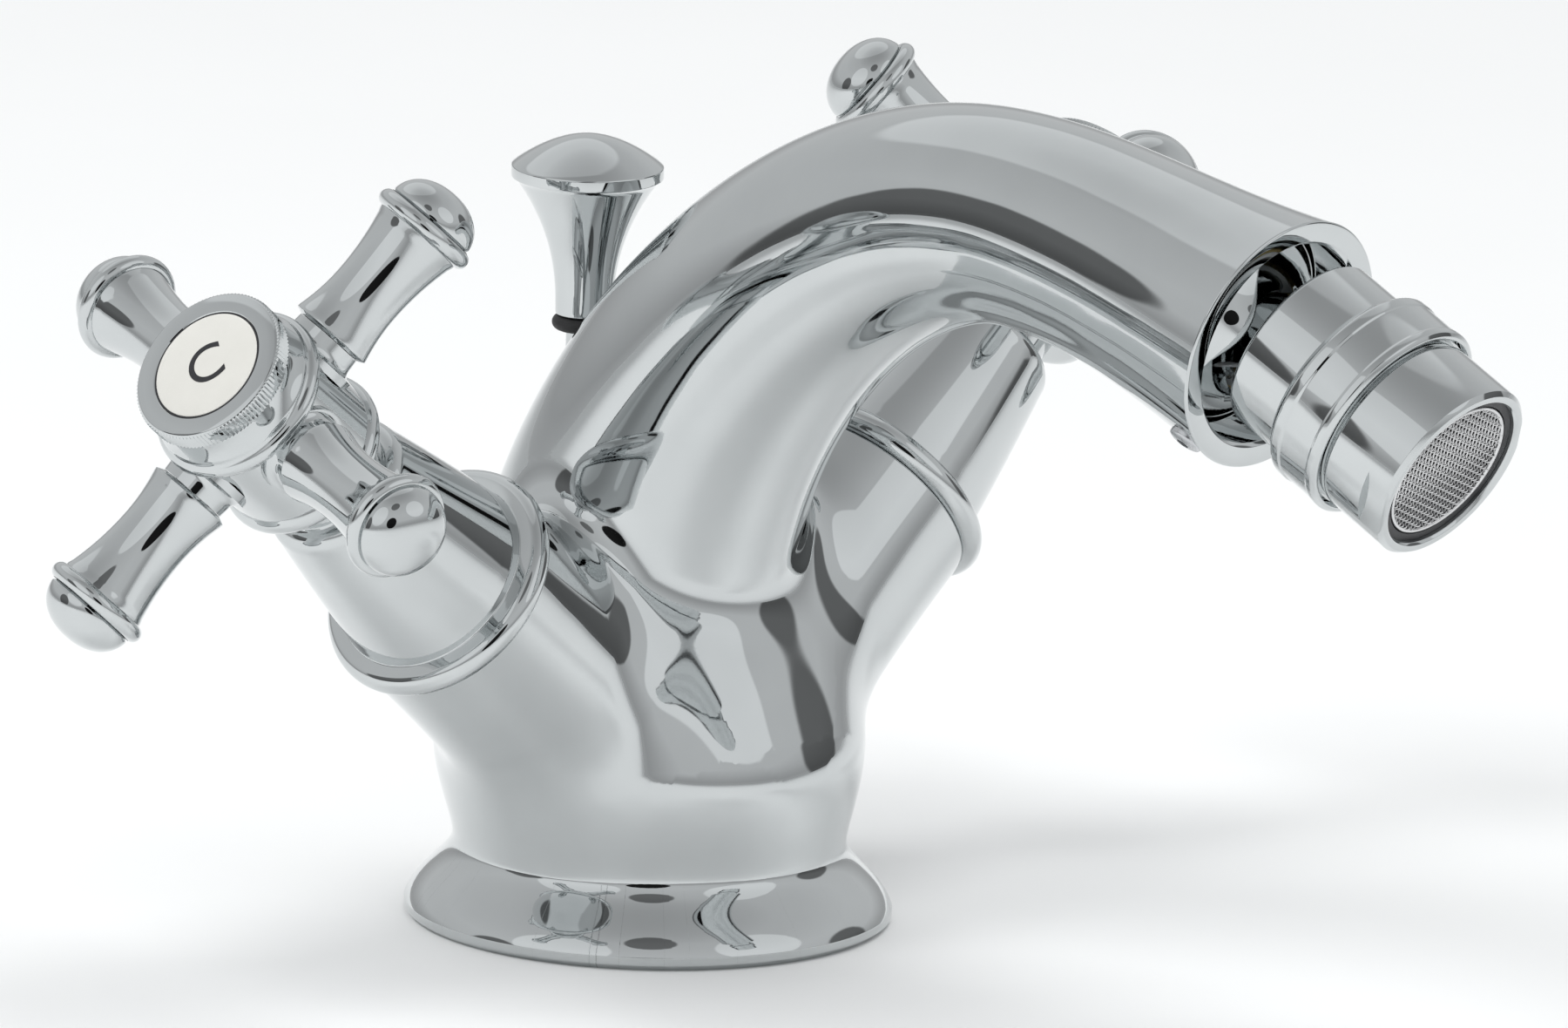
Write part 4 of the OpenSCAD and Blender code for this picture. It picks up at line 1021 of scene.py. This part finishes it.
def aerator():
    """Rear collar, wide housing, front sleeve with its spanner flats, and the dark insert."""
    body = "aerator"
    socket = socket_arc(4, -31, 14)
    collar = rounded([socket[-1], (SEAT_R, -6.0), (SEAT_R, COLLAR_REAR + 0.3), (8.9, COLLAR_REAR, 0.1),
                      (COLLAR_R - 0.35, COLLAR_REAR, 0.35), (COLLAR_R, COLLAR_REAR + 0.5, 0.3),
                      (COLLAR_R, SPLIT_Z), (SOCKET_R, SPLIT_Z)]) + socket[:-1]
    lathe("swivel_collar_turned", collar, BALL, "chrome", body, closed=True, node="swivel_collar")
    rear, front, waist_r = SPLIT_Z, HOUSING_FRONT, HOUSING_R - 0.16
    housing = rounded([(SOCKET_R, rear), (HOUSING_R - 1.1, rear, 0.2), (HOUSING_R - 0.75, rear + 0.1, 0.3),
                       (HOUSING_R, rear + 0.95, 0.7), (HOUSING_R, rear + 2.1, 0.3),
                       (waist_r, rear + 2.35, 0.3), (waist_r, front - 1.5, 0.3),
                       (HOUSING_R, front - 1.2, 0.4), (HOUSING_R, front - 0.45, 0.4),
                       (HOUSING_R - 0.45, front, 0.3), (HOUSING_R - 0.8, front, 0.2),
                       (SLEEVE_R + 0.1, front - 0.55), (THREAD_R, front - 0.55), (THREAD_R, 6.0), (SEAT_R, 6.0),
                       (SEAT_R, 5.26)], 5) + socket_arc(31, 4.1, 12)
    lathe("aerator_housing_turned", housing, BALL, "chrome", body, closed=True, node="aerator_housing")

    rear, front = HOUSING_FRONT, SLEEVE_FRONT
    sleeve = rounded([(SLEEVE_BORE_R, 6.1), (10.4, 6.1), (10.4, rear - 0.5), (SLEEVE_R - 0.35, rear - 0.5, 0.2),
                      (SLEEVE_R - 0.3, rear + 0.1, 0.25), (SLEEVE_R, rear + 0.5, 0.3),
                      (SLEEVE_R, front - 0.55, 0.1), (SLEEVE_R - 0.5, front, 0.15),
                      (LIP_R + 0.25, front, 0.15), (LIP_R, front - 0.35, 0.15),
                      (LIP_R, front - LIP_T), (SLEEVE_BORE_R, front - LIP_T)])
    bm = bmesh.new()
    turned(bm, sleeve, None, 192, closed=True)
    piece = mesh_object(bm, "aerator_sleeve_turned")
    flats = []
    for angle in FLATS:
        block = shift(SLEEVE_R + 1.3, 0, front - 1.6) @ Matrix.Diagonal((4, 24, 4, 1))
        bm = bmesh.new()
        bmesh.ops.create_cube(bm, size=1, matrix=spun(angle) @ block)
        flats.append(mesh_object(bm, "tool"))
    cut(piece, flats)
    dress(moved(piece, BALL), "chrome", body, ["aerator_sleeve"])

    front, grid_r = INSERT_FRONT, MESH_R - 0.55
    insert = rounded([(MESH_R - 0.6, INSERT_BACK), (INSERT_R, INSERT_BACK), (INSERT_R, front, 0.15),
                      (MESH_R + 0.5, front, 0.1), (MESH_R + 0.1, front, 0.1), (MESH_R, front - 0.6),
                      (MESH_R, front - 1.1), (MESH_R - 0.6, front - 1.1)])
    bm = bmesh.new()
    turned(bm, insert, BALL, closed=True)
    turned(bm, [(0, front - 3.2), (grid_r, front - 3.2), (grid_r, front - 2.6), (0, front - 2.6)], BALL)
    dress(mesh_object(bm, "aerator_insert_moulded"), "dark_plastic", body, ["aerator_insert"])


def gauze():
    """Woven wire: straight stout warp with a finer weft that passes over and under it."""
    curve = bpy.data.curves.new("gauze", "CURVE")
    curve.dimensions = "3D"
    curve.bevel_depth = 1.0
    curve.bevel_resolution = 0
    reach = MESH_R - 0.25
    level = INSERT_FRONT - 0.15
    lift = WARP_R + WEFT_R * 0.6

    def wire(points, radius):
        """Adds one wire through the points."""
        spline = curve.splines.new("POLY")
        spline.points.add(len(points) - 1)
        for point, place in zip(spline.points, points):
            point.co = (*place, 1)
            point.radius = radius

    warps, wefts = int(reach / WARP_PITCH), int(reach / WEFT_PITCH)
    for i in range(-warps, warps + 1):
        x = i * WARP_PITCH
        half = math.sqrt(reach ** 2 - x ** 2)
        wire([(x, -half, level), (x, half, level)], WARP_R)
    for j in range(-wefts, wefts + 1):
        y = j * WEFT_PITCH
        half = math.sqrt(reach ** 2 - y ** 2)
        steps = int(half / WARP_PITCH * 2)
        points = []
        for k in range(-steps, steps + 1):
            phase = k / 2 * math.pi + (math.pi / 2 if j % 2 else -math.pi / 2)
            points.append((k * WARP_PITCH / 2, y, level + lift * math.sin(phase)))
        if len(points) > 1:
            wire(points, WEFT_R)
    bm = curve_mesh(curve)
    turned(bm, [(MESH_R - 0.5, level - 0.3), (MESH_R - 0.05, level - 0.3), (MESH_R - 0.05, level + 0.12),
                (MESH_R - 0.2, level + 0.25), (MESH_R - 0.5, level + 0.12)], None, 96, closed=True)
    bmesh.ops.transform(bm, matrix=BALL @ spun(GAUZE_TURN), verts=bm.verts)
    bmesh.ops.holes_fill(bm, edges=bm.edges, sides=0)
    piece = mesh_object(bm, "aerator_gauze")
    for edge in piece.data.edges:
        edge.use_edge_sharp = False
    dress(piece, "steel_mesh", "aerator", ["aerator_mesh"])


# ---------------- lift rod and small parts
KNOB_R, KNOB_RIM_H, KNOB_DOME_H, KNOB_POWER = 8.75, 1.4, 3.6, 1.85
STEM_R, ROD_R, ROD_HOLE_R, WASHER_R = 3.3, 2.0, 2.05, 3.65
LOCK_BACK, LOCK_TURN, LOCK_RISE = 2.6, -40.0, 1.0
LOCK_HEAD_R, LOCK_SHANK_R, LOCK_HEX_R = 2.05, 1.5, 0.85


def lift_rod():
    """Flared knob with a low crown, its rod, and the black washer under it, whose black is painted shade under the
    knob.
    """
    knob_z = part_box("lift_knob")[1].z / MM - KNOB_RIM_H - KNOB_DOME_H
    shape = [(ROD_HOLE_R, STEM_Z), (STEM_R - 0.35, STEM_Z)]
    shape += arc((STEM_R - 0.35, STEM_Z + 0.35), 0.35, -80, 0, 5)
    shape += [(STEM_R + (KNOB_R - 0.55 - STEM_R) * t ** 2.3, between(STEM_Z + 0.4, knob_z - 0.22, t))
              for t in np.linspace(0.03, 1, 34)]
    crown = [(KNOB_R * t, knob_z + KNOB_RIM_H + KNOB_DOME_H * (1 - t ** KNOB_POWER))
             for t in np.linspace(0.94, 0.03, 26)]
    shape += rounded([shape[-1], (KNOB_R, knob_z + 0.05, 0.25), (KNOB_R, knob_z + KNOB_RIM_H - 0.05, 0.3),
                      crown[0]], 5)[1:]
    shape += crown[1:] + [(0, knob_z + KNOB_RIM_H + KNOB_DOME_H), (0, STEM_Z + 10), (ROD_HOLE_R, STEM_Z + 10)]
    lathe("lift_knob_turned", shape, ROD, "chrome", "lift_rod", closed=True, node="lift_knob")
    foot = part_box("lift_rod")[0].z / MM
    rod = rounded([(0, foot), (ROD_R, foot, 0.3), (ROD_R, STEM_Z + 9.9, 0.2), (0, STEM_Z + 9.9)])
    lathe("lift_rod_drawn", rod, ROD, "chrome", "lift_rod", 64, node="lift_rod")
    low, high = (v.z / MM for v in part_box("rod_washer"))
    middle, half = (low + high) / 2, (high - low) / 2
    ring = arc((WASHER_R - half, middle), half, -90, 90, 12) + [(ROD_HOLE_R, high), (ROD_HOLE_R, low)]
    # Black washer in the pocket under the knob's stem: its black is painted shade for the dark underside of the
    # knob
    lathe("rod_washer_painted_shade", ring, ROD, "black_rubber", "lift_rod", 96, closed=True, node="rod_washer")


def lock_screw():
    """Small dark screw behind the mouth's face."""
    place = MOUTH @ spun(LOCK_TURN) @ shift(0, 0, -LOCK_BACK) @ spun(90, "X")
    low, head, side_z = RECESS_R - 0.1, MOUTH_R - 0.6, LOCK_RISE * 0.45
    shape = [(0, low), (LOCK_SHANK_R, low), (LOCK_SHANK_R, head), (LOCK_HEAD_R, head),
             (LOCK_HEAD_R, head + side_z)]
    shape += [(LOCK_HEAD_R * math.cos(a), head + LOCK_RISE * (0.45 + 0.55 * math.sin(a)))
              for a in np.linspace(0.2, math.pi / 2, 9)]
    bm = bmesh.new()
    turned(bm, shape, None, 64)
    piece = mesh_object(bm, "lock_screw_turned")
    bm = bmesh.new()
    bmesh.ops.create_circle(bm, cap_ends=True, segments=6, radius=LOCK_HEX_R)
    face = bm.faces[:]
    bmesh.ops.translate(bm, vec=(0, 0, head + 0.35), verts=bm.verts)
    top = bmesh.ops.extrude_face_region(bm, geom=face)["geom"]
    bmesh.ops.translate(bm, vec=(0, 0, 2), verts=[g for g in top if isinstance(g, bmesh.types.BMVert)])
    bmesh.ops.recalc_face_normals(bm, faces=bm.faces)
    cut(piece, [mesh_object(bm, "tool")])
    dress(moved(piece, place), "steel", "root", ["lock_screw"])


set_camera()
set_world()
set_lights()
set_floor()
casting()
for side in SIDES:
    bonnet(side)
    hub(side)
    arms(side)
    cap(side)
ball_joint()
aerator()
gauze()
lift_rod()
lock_screw()

slot_of = {part["node"]: part["material_slot"] for part in frame["record"]["subparts"]}
for name, node in nodes.items():
    if not node.hide_render:
        node.data.materials.clear()
        node.data.materials.append(FINISHES[slot_of[name]])

bpy.context.scene.view_settings.view_transform = "Standard"
